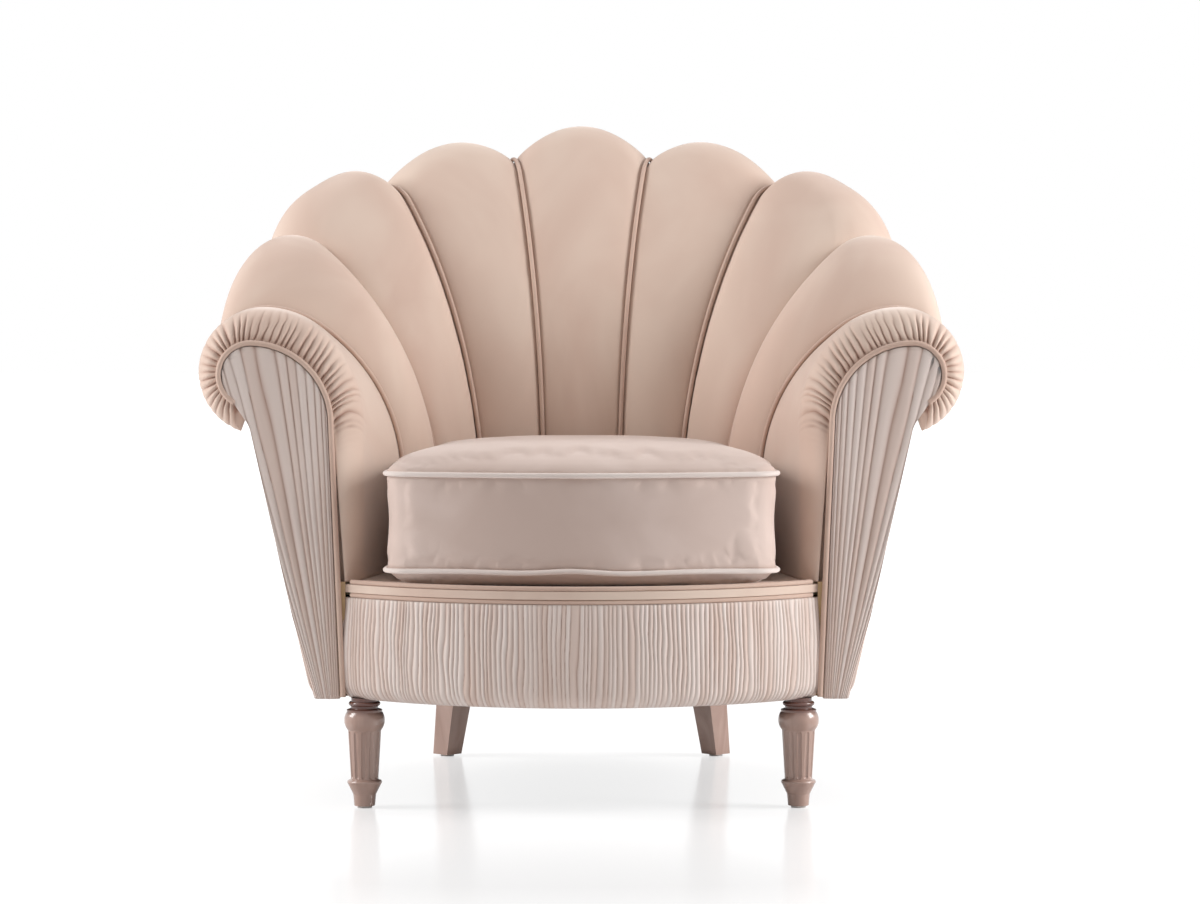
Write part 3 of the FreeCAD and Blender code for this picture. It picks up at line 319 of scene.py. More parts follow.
def add(tree, kind, **inputs):
    """A new node with its sockets linked or set by name."""
    return put(tree, tree.nodes.new(kind), **inputs)


def maths(tree, operation, first, second):
    """One number worked out of two."""
    node = tree.nodes.new("ShaderNodeMath")
    node.operation = operation
    join(tree, first, node.inputs[0])
    join(tree, second, node.inputs[1])
    return node.outputs[0]


def mix_colour(tree, share, first, second):
    """A colour between two others."""
    node = tree.nodes.new("ShaderNodeMix")
    node.data_type = "RGBA"
    for socket, value in zip((node.inputs[0], node.inputs[6], node.inputs[7]), (share, first, second)):
        join(tree, value, socket)
    return node.outputs[2]


def mix_shader(tree, share, first, second):
    """A shader between two others."""
    node = add(tree, "ShaderNodeMixShader", Fac=share)
    tree.links.new(first, node.inputs[1])
    tree.links.new(second, node.inputs[2])
    return node.outputs[0]


def own_value(tree, name):
    """A value that the piece's own points carry."""
    node = tree.nodes.new("ShaderNodeAttribute")
    node.attribute_name = name
    return node.outputs["Fac"]


def ramp(tree, value, stops):
    """Colours laid out along a value."""
    node = tree.nodes.new("ShaderNodeValToRGB")
    tree.links.new(value, node.inputs[0])
    while len(node.color_ramp.elements) < len(stops):
        node.color_ramp.elements.new(0.5)
    for element, (position, colour) in zip(node.color_ramp.elements, stops):
        element.position = position
        element.color = colour
    return node.outputs[0]


def noise(tree, scale, detail=2.0, stretch=(1, 1, 1), distortion=0.0):
    """Noise on the piece's own coordinates, stretched along its axes."""
    coordinates = tree.nodes.new("ShaderNodeTexCoord")
    mapping = add(tree, "ShaderNodeMapping", Vector=coordinates.outputs["Object"], Scale=stretch)
    return add(tree, "ShaderNodeTexNoise", Vector=mapping.outputs[0], Scale=scale, Detail=detail,
               Distortion=distortion).outputs[0]


def velvet(name, light, dark, stretch=(1, 1, 0.45), crease_shade=None, roughness=0.72, specular=0.25):
    """Short-pile velvet: two tones laid by broad brushed patches of nap, a sheen that lifts edges, and
    a fine pile in the bump. Where a crease shade colour is given, the piece's creases are painted darker
    towards it as painted shade."""
    material, tree, shader = nodes_of(name)
    nap = ramp(tree, noise(tree, 6, 3, stretch, 0.6), [(0.36, dark), (0.64, light)])
    # painted shade: the piece's crease values darken the colour in its folds
    if crease_shade:
        nap = mix_colour(tree, own_value(tree, "crease"), nap, crease_shade)
    pile = add(tree, "ShaderNodeBump", Strength=0.12, Distance=0.0006, Height=noise(tree, 900, 2))
    put(tree, shader, Base_Color=nap, Roughness=roughness, Specular_IOR_Level=specular,
        Sheen_Weight=0.5, Sheen_Roughness=0.4, Sheen_Tint=(1.0, 0.93, 0.9, 1), Normal=pile.outputs[0])
    return material


def folded(name, base, shade, light):
    """Satin-like pleated velvet. Creases are painted darker and pinker as painted shade, and some folds,
    at random, are painted lighter as a painted satin highlight, by the piece's own crease and fold
    highlight values."""
    material, tree, shader = nodes_of(name)
    cloth = mix_colour(tree, own_value(tree, "fold_highlight"), base, light)
    crease_shaded = mix_colour(tree, own_value(tree, "crease"), cloth, shade)
    put(tree, shader, Base_Color=crease_shaded, Roughness=0.5, Specular_IOR_Level=0.4, Sheen_Weight=0.2,
        Sheen_Roughness=0.35)
    return material


def plain(name, colour, roughness, metallic=0.0):
    """One colour all over."""
    material, tree, shader = nodes_of(name)
    put(tree, shader, Base_Color=colour, Roughness=roughness, Metallic=metallic)
    return material


LIGHT_NAP = (0.78, 0.62, 0.52, 1)
DARK_NAP = (0.70, 0.52, 0.43, 1)
VELVET = velvet("blush_velvet", LIGHT_NAP, DARK_NAP)
# the last colour is painted shade: the dark red-brown that the gathers' creases are painted towards
GATHERED = velvet("gathered_velvet", LIGHT_NAP, DARK_NAP, (1, 0.5, 1), (0.36, 0.19, 0.14, 1), 0.68, 0.3)
CUSHION_VELVET = velvet("cushion_velvet", (0.70, 0.56, 0.50, 1), (0.62, 0.48, 0.42, 1), (1, 1, 1))
PIPING = velvet("seam_cord_velvet", (0.68, 0.50, 0.41, 1), (0.60, 0.42, 0.34, 1), (1, 1, 1))
PALE_PIPING = velvet("pale_cord_velvet", (0.84, 0.74, 0.69, 1), (0.78, 0.67, 0.62, 1), (1, 1, 1))
DUST_CLOTH = plain("black_dust_cloth", (0.03, 0.028, 0.027, 1), 0.95)
# the shade colour is painted shade for the creases, and the light colour a painted satin highlight on some
# folds
PLEATS = folded("pleated_velvet", (0.70, 0.55, 0.48, 1), (0.40, 0.22, 0.16, 1), (0.82, 0.72, 0.67, 1))


# Channels of the back
STEPS = np.concatenate([np.linspace(0, 1, 12)[:-1], np.linspace(1, 2, 44)[:-1],
                        np.linspace(2, 3, 30)[:-1], np.linspace(3, 4, 40)])


TUCK_DEPTH = 3.6
TUCK_WIDTH = 6.0
PUCKER_PITCH = 13
PUCKER_DEPTH = 0.9
PUCKER_WIDTH = 16
STUFFING_ALONG = 70
STUFFING_ACROSS = 45
STUFFING_HEIGHT = 1.2


def channel(name, planes, power, across_count=49):
    """A stuffed channel. Its face is bowed between the seams, tucks in beside them, puckers a little
    where it is sewn, and is not quite evenly stuffed. Its lining closes it behind."""
    across = np.sin(np.linspace(-np.pi / 2, np.pi / 2, across_count))
    face = bowed(*(place(p, *hook(p, STEPS)) for p in planes), across, power)
    lining = bowed(*(place(p, *hook(p, STEPS, p.pad)) for p in planes), across, power)
    normal = outward(face)
    normal *= np.sign(np.sum(normal * (face - lining)))
    width = np.linalg.norm(face[:, -1] - face[:, 0], axis=1)[:, None] / 2
    to_seam = (1 - np.abs(across))[None] * width
    along = run_length(face[:, across_count // 2])[:, None]
    seed = sum(ord(letter) for letter in name)
    sewn = np.where(across < 0, wander(along, PUCKER_PITCH, seed), wander(along, PUCKER_PITCH, seed + 1))
    depth = TUCK_DEPTH * np.exp(-to_seam / TUCK_WIDTH)
    depth = depth + (0.5 + 0.5 * sewn) * PUCKER_DEPTH * np.exp(-to_seam / PUCKER_WIDTH)
    stuffing = wander(along, STUFFING_ALONG, seed + 2)
    stuffing = stuffing * wander(across[None] * width, STUFFING_ACROSS, seed + 3) * STUFFING_HEIGHT
    face = face + normal * (stuffing * (1 - across ** 2)[None] - depth)[..., None]
    return skin(name, np.concatenate([face, lining[:, ::-1]], axis=1))


for name, planes in CHANNELS.items():
    for side, sign in SIDES.items() if name != "centre" else [("", 1)]:
        ending = f"_{side}" if side else ""
        made = channel(f"{name}_channel_face{ending}", on_side(planes, sign), MIDDLES[name][2])
        dress(made, VELVET, "velvet", "chair", f"{name}_channel{ending}")


# Piping in the seams of the back
def seam_cord(name, plane, rise):
    """Cord along a seam, its middle above the valley by the rise."""
    return cord(name, spread(place(plane, *hook(plane, STEPS, -rise)), 150), CORD)


for name, plane in (("arm", ARM), ("wing", WING), ("back", BACK), ("centre", CENTRE)):
    for side, sign in SIDES.items():
        made = seam_cord(f"{name}_seam_cord_{side}", on_side([plane], sign)[0], PIPING_RISE[name])
        dress(made, PIPING, "piping", "chair", f"{name}_seam_piping_{side}")


# Rolled arms
PANEL_AXIS = 445
PANEL_TOP = 623.5
PANEL_SWEEP = 104.5
PANEL_HEAD = 39
PANEL_FOOT = 325
PANEL_MARGIN = 6
ARM_NOSE = 50
RING_CURL = 150
NOSE_PUFF = 3.0
PANEL_TUCK = 14
GATHER_PITCH = 9.5
GATHER_REACH = 46
GATHER_DEPTH = 4.4
LOW_PITCH = 7.5
LOW_REACH = 16
LOW_DEPTH = 1.6
LOW_FADE = 14


def arm_ring():
    """The hook that the gathers end on, just outside the piping of the arm panel."""
    sweep = PANEL_SWEEP + PANEL_MARGIN
    ring = SimpleNamespace(**vars(FRONT))
    ring.x = PANEL_AXIS - sweep
    ring.toe = ring.x - PANEL_FOOT + PANEL_MARGIN
    ring.top = PANEL_TOP + PANEL_MARGIN
    ring.reach = ring.shoulder = sweep
    ring.roll = PANEL_HEAD + PANEL_MARGIN
    ring.curl = RING_CURL
    return ring


def arm_face(steps, rounds=34):
    """Rows of the arm's face, from the seam at its back over the bowed top to the nose, whose section
    shrinks to the ring round the panel as a quarter of an ellipse."""
    length = ARM.y - FRONT.y
    nose_start = mixed(FRONT, ARM, ARM_NOSE / length)
    nose_start.turn, nose_start.y = FRONT.turn, FRONT.y + ARM_NOSE
    lines = [place(p, *hook(p, steps)) for p in (ARM, ARM_MIDDLE, nose_start)]
    linings = [place(p, *hook(p, steps, p.pad)) for p in (ARM, ARM_MIDDLE, nose_start)]
    across = np.linspace(-1, 1, 41)
    face = np.swapaxes(bowed(*lines, across), 0, 1)
    lining = np.swapaxes(bowed(*linings, across), 0, 1)
    ring = arm_ring()
    nose_face, nose_lining = [], []
    for share in 1 - np.cos(np.linspace(0, np.pi / 2, rounds))[1:]:
        depth = fallen(share, ARM_NOSE)
        full = mixed(FRONT, ARM, depth / length)
        full.turn, full.y = FRONT.turn, FRONT.y + depth
        section = mixed(full, ring, share)
        section.y = full.y
        nose_face.append(place(section, *hook(section, steps)))
        nose_lining.append(place(full, *hook(full, steps, full.pad)))
    return np.concatenate([face, nose_face]), np.concatenate([lining, nose_lining])


def pleats(phase, sharpness=0.75):
    """Round-backed folds with a sharp crease at each whole phase."""
    return np.abs(np.sin(np.pi * phase)) ** sharpness


def pleat_shades(fold, phase, down, seed, crease=(0.6, 0.35), fold_highlight=0.45):
    """Painted crease shade and painted fold highlight of pleats: every crease has its own strength of
    painted shade and every fold its own painted lightness, which changes a little on the way down."""
    number = np.floor(phase)
    strength = crease[0] + crease[1] * wander(number * 3.1, 1, seed + 1)
    return (1 - fold) ** 2 * strength, fold_highlight + fold_highlight * wander(number * 7.3 + down * 1.2, 1, seed)


def with_lining(values, axis):
    """Values of a face, and zeros for its lining."""
    return np.concatenate([values, np.zeros_like(values)], axis=axis)


def rolled_arm(name, sign):
    """The arm with its gathers: sharp-sided folds that start at the panel's piping and die away over
    the nose, each with its own reach and depth, and small ones at its foot."""
    steps = np.concatenate([np.linspace(0, 1, 60)[:-1], np.linspace(1, 2, 150)[:-1],
                            np.linspace(2, 3, 130)[:-1], np.linspace(3, 4, 300)])
    face, lining = arm_face(steps)
    normal = outward(face)
    normal *= np.sign(np.sum(normal * (face - lining)))
    from_ring = run_length(face)[-1][None] - run_length(face)
    along = run_length(face[-12])[None]
    gathered = smooth(steps, 0.78, 1.0)[None]
    phase = along / GATHER_PITCH + 0.35 * wander(along, 17, 5) + 0.12 * wander(from_ring + along, 14, 6)
    fold = pleats(phase, 0.8)
    reach = GATHER_REACH * (1 + 0.4 * wander(along, 8, 7))
    fade = np.exp(-(from_ring / reach) ** 2 * 1.4) * smooth(from_ring, -1, 5)
    depth = GATHER_DEPTH * (1 + 0.4 * wander(along, 11, 8))
    sewn_low = 1 - smooth(steps, 0.02, 0.16)[None]
    low_folds = pleats(along / LOW_PITCH, 1) * np.exp(-(from_ring / LOW_REACH) ** 2) * sewn_low
    low = LOW_DEPTH * (1 - low_folds) * sewn_low * np.exp(-from_ring / LOW_FADE)
    puff = NOSE_PUFF * gathered * smooth(from_ring, 0, 14) * (1 - smooth(from_ring, 30, 80))
    height = puff - depth * (1 - fold) * fade * gathered - low
    face = face + normal * height[..., None]
    # painted shade: the gathers' creases get a value that darkens their colour, strongest in the deep
    # folds beside the panel
    crease = (1 - fold) ** 1.5 * fade * gathered
    face = np.concatenate([face, face[-1:] + np.array([0, PANEL_TUCK, 0])])
    lining = np.concatenate([lining, lining[-1:]])
    crease_shade_values = with_lining(np.concatenate([crease, crease[-1:]]), 1)
    rings = np.concatenate([face, lining[:, ::-1]], axis=1)
    rings[..., 0] *= sign
    return skin(name, rings, crease=crease_shade_values, fold_highlight=np.zeros_like(crease_shade_values))


for side, sign in SIDES.items():
    made = dress(rolled_arm(f"arm_roll_{side}", sign), GATHERED, "velvet", "chair", f"arm_channel_{side}")


# Pleated panel on the arm front, with its piping
PANEL_LENGTH = 434
PANEL_CURL = 24
PANEL_BACK = 18


def scroll(grown=0.0, count=160):
    """Edge of the arm panel over the scroll: a long inner arc and the head, grown outwards."""
    sweep = arc((PANEL_AXIS, PANEL_TOP - PANEL_SWEEP), PANEL_SWEEP + grown, 180, 90, count)
    head = arc((PANEL_AXIS, PANEL_TOP - PANEL_HEAD), PANEL_HEAD + grown, 90, -60, count)
    return np.concatenate([sweep, head[1:]])


def arm_front(name, sign, folds=14):
    """Pleated insert: straight pleats from the floor end to the scroll, ruled from the lower edge to
    points along the scroll, and rounded back at the outer edge to meet the outside cover."""
    columns = folds * 12 + 1
    top = spread(scroll(-1.0), columns)
    neck, heel = (line[[0, 2]] for line in cover_line(FRONT))
    low = np.stack([np.linspace(PANEL_FOOT + 1, heel[0] - 3, columns), np.full(columns, BASE)], axis=1)
    along = np.linspace(0, 1, 60)[:, None, None]
    flat = low[None] * (1 - along) + top[None] * along
    outer = heel[0] + 1 + (neck[0] - heel[0]) * (flat[..., 1] - BASE) / (neck[1] - BASE)
    flat[..., 0] = np.minimum(flat[..., 0], outer + 0.5 * np.maximum(flat[..., 1] - neck[1], 0))
    share = np.linspace(0, 1, columns)[None]
    rows = along[..., 0]
    phase = share * folds + 0.55 * wander(share * folds, 2.3, 21)
    phase = phase + 0.14 * wander(rows * 5 + share * 9, 1, 22)
    fold = pleats(phase)
    depth = 2.2 * (1 - 0.5 * smooth(rows, 0.5, 0.0)) * np.ones_like(share)
    bulge = 5 * np.sqrt(np.clip(1 - (2 * share - 1) ** 4, 0, 1)) * np.ones_like(rows)
    round_back = 9 * smooth(share, 0.86, 1.0) ** 2 * smooth(rows, 1.0, 0.8)
    curled = fallen(np.clip(rows * PANEL_LENGTH / PANEL_CURL, 0, 1), 2) * np.ones_like(share)
    y = FRONT.y - 2 - bulge + depth * (1 - fold) + round_back + curled
    face = np.stack([flat[..., 0], y, flat[..., 1] - 2 * (1 - smooth(rows, 0, 0.05))], axis=-1)
    back = face.copy()
    back[..., 1] = FRONT.y + PANEL_BACK
    rings = np.concatenate([face, back[:, ::-1]], axis=1)
    rings[..., 0] *= sign
    # painted crease shade and painted fold highlight of the panel's pleats
    crease, fold_highlight = pleat_shades(fold, phase, rows, 23)
    return skin(name, rings, crease=with_lining(crease, 1), fold_highlight=with_lining(fold_highlight, 1))


for side, sign in SIDES.items():
    made = arm_front(f"arm_front_pleats_{side}", sign)
    dress(made, PLEATS, "pleats", "chair", f"arm_panel_{side}")
    edge = scroll(CORD + 0.4)
    foot = np.array([[PANEL_FOOT - CORD - 0.4, BASE + 1]])
    edge = spread(np.concatenate([foot, edge]), 200)
    path = np.stack([edge[:, 0] * sign, np.full(len(edge), FRONT.y - CORD - 1), edge[:, 1]], axis=1)
    made = cord(f"arm_front_cord_{side}", path, CORD + 0.5)
    dress(made, PIPING, "piping", "chair", f"arm_panel_piping_{side}")


# Outside covers, pleated
PLEAT_DEPTH = 2.0
CURL_DROP = 3  # how far a curled edge hangs below the base


def cover(name, runs, pitch=8.5, bottom_round=22):
    """Outside cover: pleats that hang from the roll to a rounded lower edge. Each run is three planes,
    bowed as its channel is."""
    tops, feet = [], []
    for run in runs:
        across = np.linspace(-1, 1, 161)
        lines = [np.stack(cover_line(p)) for p in run]
        rows = bowed(*lines, across)
        tops.append(rows[0, 1:] if tops else rows[0])
        feet.append(rows[1, 1:] if feet else rows[1])
    top, foot = np.concatenate(tops), np.concatenate(feet)
    count = int(run_length(foot)[-1] / pitch) * 9
    top, foot = spread(top, count), spread(foot, count)
    across_out = np.cross(np.gradient(foot, axis=0), [0, 0, 1])
    across_out /= np.linalg.norm(across_out, axis=1, keepdims=True)
    across_out *= np.sign(np.sum(across_out * foot * [1, 1, 0]))
    rows = np.concatenate([np.linspace(1, 0.06, 30), np.linspace(0.05, 0, 9)])[:, None]
    line = foot[None] * (1 - rows[..., None]) + top[None] * rows[..., None]
    above = np.clip((line[..., 2:] - BASE) / bottom_round, 0, 1)
    under = fallen(above, bottom_round)
    along = run_length(foot)[None]
    phase = along / pitch + 0.55 * wander(along, 19, 31) + 0.14 * wander(rows * 5 + along / 30, 1, 32)
    fold = pleats(phase)
    height = np.sin(np.pi * rows) - PLEAT_DEPTH * (1 - fold)
    face = line + across_out[None] * (height[..., None] - under)
    face[..., 2] -= CURL_DROP * (1 - above[..., 0])
    lining = line - across_out[None] * 4
    lining[..., 2] = np.maximum(lining[..., 2], BASE - 2)
    lining[-1] = face[-1] - across_out * 2
    rings = np.swapaxes(np.concatenate([face, lining[::-1]]), 0, 1)
    # painted crease shade and painted fold highlight of the cover's pleats
    crease, fold_highlight = pleat_shades(fold, phase, rows, 33)
    return skin(name, rings, crease=with_lining(crease, 0).T, fold_highlight=with_lining(fold_highlight, 0).T)


for side, sign in SIDES.items():
    lines = ((FRONT, ARM_MIDDLE, ARM), CHANNELS["side"], CHANNELS["wing"])
    runs = [on_side(planes, sign) for planes in lines]
    dress(cover(f"outside_arm_pleats_{side}", runs), PLEATS, "pleats", "chair", f"outside_arm_{side}")
back_runs = [CHANNELS["back"], CHANNELS["centre"], tuple(mirrored(p) for p in CHANNELS["back"][::-1])]
dress(cover("outside_back_pleats", back_runs), PLEATS, "pleats", "chair", "outside_back")


# Pleated front border
FRONT_RADIUS = (FRONT_HALF_WIDTH ** 2 + FRONT_BOW ** 2) / 2 / FRONT_BOW
FRONT_AXIS_Y = FRONT.y - FRONT_BOW + FRONT_RADIUS


def front_border(name, pitch=6.6, bottom_round=20):
    """Pleated border across the bowed front: it leaves the lower welt, swells a little, and curls
    under the rail."""
    half = np.arcsin((FRONT_HALF_WIDTH + CORD) / FRONT_RADIUS)
    folds = int(2 * half * FRONT_RADIUS / pitch)
    turn = np.linspace(-half, half, folds * 9 + 1)[None]
    curled = BASE + bottom_round * (1 - np.sin(np.linspace(0, np.pi / 2, 14)[1:]))
    height = np.concatenate([np.linspace(BORDER_TOP, BASE + bottom_round, 34), curled])[:, None]
    above = np.clip((height - BASE) / bottom_round, 0, 1)
    under = fallen(above, bottom_round)
    along = turn * FRONT_RADIUS
    share = (height - BASE) / (BORDER_TOP - BASE)
    phase = along / pitch + 0.6 * wander(along, 15, 41) + 0.2 * wander(share * 4 + along / 21, 1, 42)
    fold = pleats(phase)
    drawn = smooth(share, 1.0, 0.9)
    out = 5 * np.sin(np.pi * share ** 0.8) - PLEAT_DEPTH * (1 - fold) * (0.5 + 0.5 * drawn) - under
    radius = FRONT_RADIUS + out
    face = np.stack([radius * np.sin(turn), FRONT_AXIS_Y - radius * np.cos(turn),
                     height + np.zeros_like(turn) - CURL_DROP * (1 - above)], axis=-1)
    inner = FRONT_RADIUS - BORDER_THICKNESS + np.zeros_like(out)
    inner[-1] = radius[-1] - 2
    lining = np.stack([inner * np.sin(turn), FRONT_AXIS_Y - inner * np.cos(turn),
                       np.maximum(height, BASE - 2) + np.zeros_like(turn)], axis=-1)
    rings = np.swapaxes(np.concatenate([face, lining[::-1]]), 0, 1)
    # painted crease shade and painted fold highlight of the border's pleats
    crease, fold_highlight = pleat_shades(fold, phase, share, 43, (0.55, 0.4), 0.5)
    return skin(name, rings, crease=with_lining(crease, 0).T, fold_highlight=with_lining(fold_highlight, 0).T)


dress(front_border("front_border_pleats"), PLEATS, "pleats", "chair", "front_border")


# Seat cushion
CUSHION_CORNERS = [(0, -443, 560), (262, -359, 42), (242, -45, 120), (148, 111, 90)]
CUSHION_LOW = 325
CUSHION_HIGH = 454
CUSHION_CROWN = 36.5
CUSHION_BOTTOM = 306.5
CUSHION_DRAW = 6
WAVE_RISE = 4.5
WAVE_X = -12
WAVE_WIDTH = 48
VOXEL = 6
SWELL = 5
SINK = 0.3
SEWN_NEAR = 7
ZIP_BACK = 95
ZIP_HALF_WIDTH = 100
ZIP_HEIGHT = 389.5
ZIP_NEAR = 25


def cushion_outline(inset, count=360):
    """The cushion in plan: straight sides joined by tangent arcs at the corners, drawn in evenly."""
    corners = CUSHION_CORNERS + [(-x, y, rounding) for x, y, rounding in CUSHION_CORNERS[:0:-1]]
    points = np.array([corner[:2] for corner in corners], float)
    back = np.roll(points, 1, axis=0) - points
    ahead = np.roll(points, -1, axis=0) - points
    back /= np.linalg.norm(back, axis=1, keepdims=True)
    ahead /= np.linalg.norm(ahead, axis=1, keepdims=True)
    half = np.arccos(np.sum(back * ahead, axis=1)) / 2
    inward = (back + ahead) / np.linalg.norm(back + ahead, axis=1, keepdims=True)
    line = []
    for tip, first, last, bisector, angle, corner in zip(points, back, ahead, inward, half, corners):
        radius = corner[2] - inset
        tip = tip + bisector * inset / np.sin(angle)
        axis = tip + bisector * radius / np.sin(angle)
        start = tip + first * radius / np.tan(angle) - axis
        end = tip + last * radius / np.tan(angle) - axis
        share = np.linspace(0, 1, 24)[:, None]
        bend = start * (1 - share) + end * share
        line.append(axis + radius * bend / np.linalg.norm(bend, axis=1, keepdims=True))
    line = np.concatenate(line + [line[0][:1]])
    return spread(line, count + 1)[:-1]


def cushion_wave(rings):
    """The lower piping rides up in a soft wave at the middle of the front."""
    front = smooth(rings[..., 1], -300, -400)
    across = rings[..., 0]
    lift = WAVE_RISE * np.exp(-((across - WAVE_X) / WAVE_WIDTH) ** 2) - 1.5 * np.cos(across / 52)
    above = rings[..., 2] - CUSHION_LOW
    near = np.exp(-(above / np.where(above < 0, 9, 26)) ** 2)
    rings[..., 2] += lift * near * front
    return rings


def cushion_rings(count=360):
    """Rings of the cushion: flat underside, boxing drawn in at half height, and a crown that rises as
    an arch from the upper seam. Gives the rings and the two rows that are sewn."""
    middle = np.array([0.0, (CUSHION_CORNERS[0][1] + CUSHION_CORNERS[3][1]) / 2])
    edge = cushion_outline(0, count)
    rings = []

    def ring(outline, height):
        rings.append(np.column_stack([outline, np.full(count, height)]))

    for share in np.linspace(0.02, 1, 22):
        drop = (CUSHION_LOW - CUSHION_BOTTOM) * (1 - share ** 26)
        ring(edge * share + middle * (1 - share), CUSHION_LOW - drop)
    low_seam = len(rings) - 1
    for share in np.linspace(0, 1, 18)[1:]:
        drawn = cushion_outline(CUSHION_DRAW * np.sin(np.pi * share), count)
        ring(drawn, CUSHION_LOW + (CUSHION_HIGH - CUSHION_LOW) * share)
    high_seam = len(rings) - 1
    for share in 1 - np.linspace(0, 0.98 ** 0.5, 34)[1:] ** 2:
        ring(edge * share + middle * (1 - share), CUSHION_HIGH + CUSHION_CROWN * np.sqrt(1 - share ** 3.4))
    return cushion_wave(np.array(rings)), (low_seam, high_seam)


def evaluated(made):
    """A piece's mesh with its modifiers worked in."""
    return bpy.data.meshes.new_from_object(made.evaluated_get(bpy.context.evaluated_depsgraph_get()))


def read_points(mesh, label="co"):
    """Positions or normals of a mesh's points, in rows."""
    values = np.empty(len(mesh.vertices) * 3)
    mesh.vertices.foreach_get(label, values)
    return values.reshape(-1, 3)


def stuffed(made, sewn, pressure=4.0, slack=-0.035, last_frame=20):
    """Blow a closed cover up as cloth and keep the result. Points beside the sewn lines and at the zip
    stay. The rest swells by the swell at most and sinks by a little at most, so the foam stays inside."""
    scene = bpy.context.scene
    cells = made.modifiers.new("cells", "REMESH")
    cells.mode = "VOXEL"
    cells.voxel_size = VOXEL * MM
    cells.use_smooth_shade = True
    made.data = evaluated(made)
    made.modifiers.clear()
    start = read_points(made.data) / MM
    lines = [KDTree(len(line)) for line in sewn]
    for tree, line in zip(lines, sewn):
        for i, point in enumerate(line):
            tree.insert(point, i)
        tree.balance()
    near = np.array([min(tree.find(point)[2] for tree in lines) for point in start])
    at_zip = (start[:, 1] > ZIP_BACK) & (np.abs(start[:, 0]) < ZIP_HALF_WIDTH)
    at_zip &= np.abs(start[:, 2] - ZIP_HEIGHT) < ZIP_NEAR
    held = made.vertex_groups.new(name="sewn")
    held.add(np.flatnonzero((near < SEWN_NEAR) | at_zip).tolist(), 1.0, "REPLACE")
    cloth = made.modifiers.new("stuffing", "CLOTH")
    cloth.settings.use_pressure = True
    cloth.settings.uniform_pressure_force = pressure
    cloth.settings.effector_weights.gravity = 0
    cloth.settings.vertex_group_mass = "sewn"
    cloth.settings.shrink_min = slack
    cloth.collision_settings.use_collision = False
    cloth.collision_settings.use_self_collision = False
    cloth.point_cache.frame_start = 1
    cloth.point_cache.frame_end = last_frame
    for frame_number in range(1, last_frame + 1):
        scene.frame_set(frame_number)
    end = read_points(evaluated(made)) / MM
    normal = read_points(made.data, "normal")
    move = end - start
    rise = np.sum(move * normal, axis=1, keepdims=True)
    beside = move - rise * normal
    sideways = np.linalg.norm(beside, axis=1, keepdims=True)
    beside *= np.minimum(1, SWELL / np.maximum(sideways, 1e-6))
    rise = np.where(rise > 0, SWELL * np.tanh(rise / SWELL), SINK * np.tanh(rise / SINK))
    made.modifiers.clear()
    made.vertex_groups.clear()
    scene.frame_set(1)
    made.data.vertices.foreach_set("co", ((start + beside + rise * normal) * MM).ravel())
    finer = made.modifiers.new("finer", "SUBSURF")
    finer.levels = finer.render_levels = 1
    made.data = evaluated(made)
    made.modifiers.clear()
    return made


rings, seam_rows = cushion_rings()
cushion = stuffed(skin("seat_cushion_cover", rings), [rings[row] for row in seam_rows])
dress(cushion, CUSHION_VELVET, "velvet", "seat_cushion", "cushion_cover")
for name, row in zip(("bottom", "top"), seam_rows):
    away = rings[row] - rings[row].mean(axis=0)
    away[:, 2] = 0
    away /= np.linalg.norm(away, axis=1, keepdims=True)
    made = cord(f"cushion_cord_{name}", rings[row] + away * (CORD - 0.6), CORD + 0.3, looped=True)
    dress(made, PALE_PIPING, "piping", "seat_cushion", f"cushion_piping_{name}")


# Cloth under the seat, drawn in further than the solid's so that the curled covers hide its edge
def dust_cloth(inset=19, thickness=0.6):
    """Flat cloth in the outline of the base: the bowed front and the base's arc behind each channel."""
    across = np.linspace(-1, 1, 41)
    runs = [(FRONT, ARM_MIDDLE, ARM), CHANNELS["side"], CHANNELS["wing"], CHANNELS["back"]]
    runs += [CHANNELS["centre"]] + [tuple(mirrored(p) for p in run[::-1]) for run in runs[::-1]]
    line = [bowed(*(place(p, [p.base - inset], BASE) for p in run), across)[0] for run in runs]
    radius = FRONT_RADIUS - inset
    half = np.degrees(np.arcsin(FRONT_HALF_WIDTH / radius))
    front = arc((0, FRONT_AXIS_Y), radius, -90 - half, -90 + half, 81)
    line.append(np.column_stack([front, np.full(len(front), BASE)]))
    low = np.concatenate(line) - [0, 0, 1.2]
    return skin("dust_cover_cloth", np.stack([low, low + [0, 0, thickness]]))


dress(dust_cloth(), DUST_CLOTH, "dust_cloth", "chair", "dust_cover")


# Materials of the CAD pieces that show as they are
def turned_wood():
    """Pinkish-brown stained wood under gloss lacquer, darker and redder at the collar of the neck."""
    material, tree, shader = nodes_of("glossy_stained_wood")
    coordinates = tree.nodes.new("ShaderNodeTexCoord")
    apart = add(tree, "ShaderNodeSeparateXYZ", Vector=coordinates.outputs["Object"])
    height = ramp(tree, apart.outputs[2], [(0.124, (0, 0, 0, 1)), (0.134, (1, 1, 1, 1))])
    grain = ramp(tree, noise(tree, 40, 4, (1, 1, 0.08), 0.4),
                 [(0.35, (0.40, 0.25, 0.20, 1)), (0.65, (0.52, 0.35, 0.29, 1))])
    stained = mix_colour(tree, height, grain, (0.13, 0.045, 0.03, 1))
    put(tree, shader, Base_Color=stained, Roughness=0.32, Coat_Weight=0.8, Coat_Roughness=0.1)
    return material


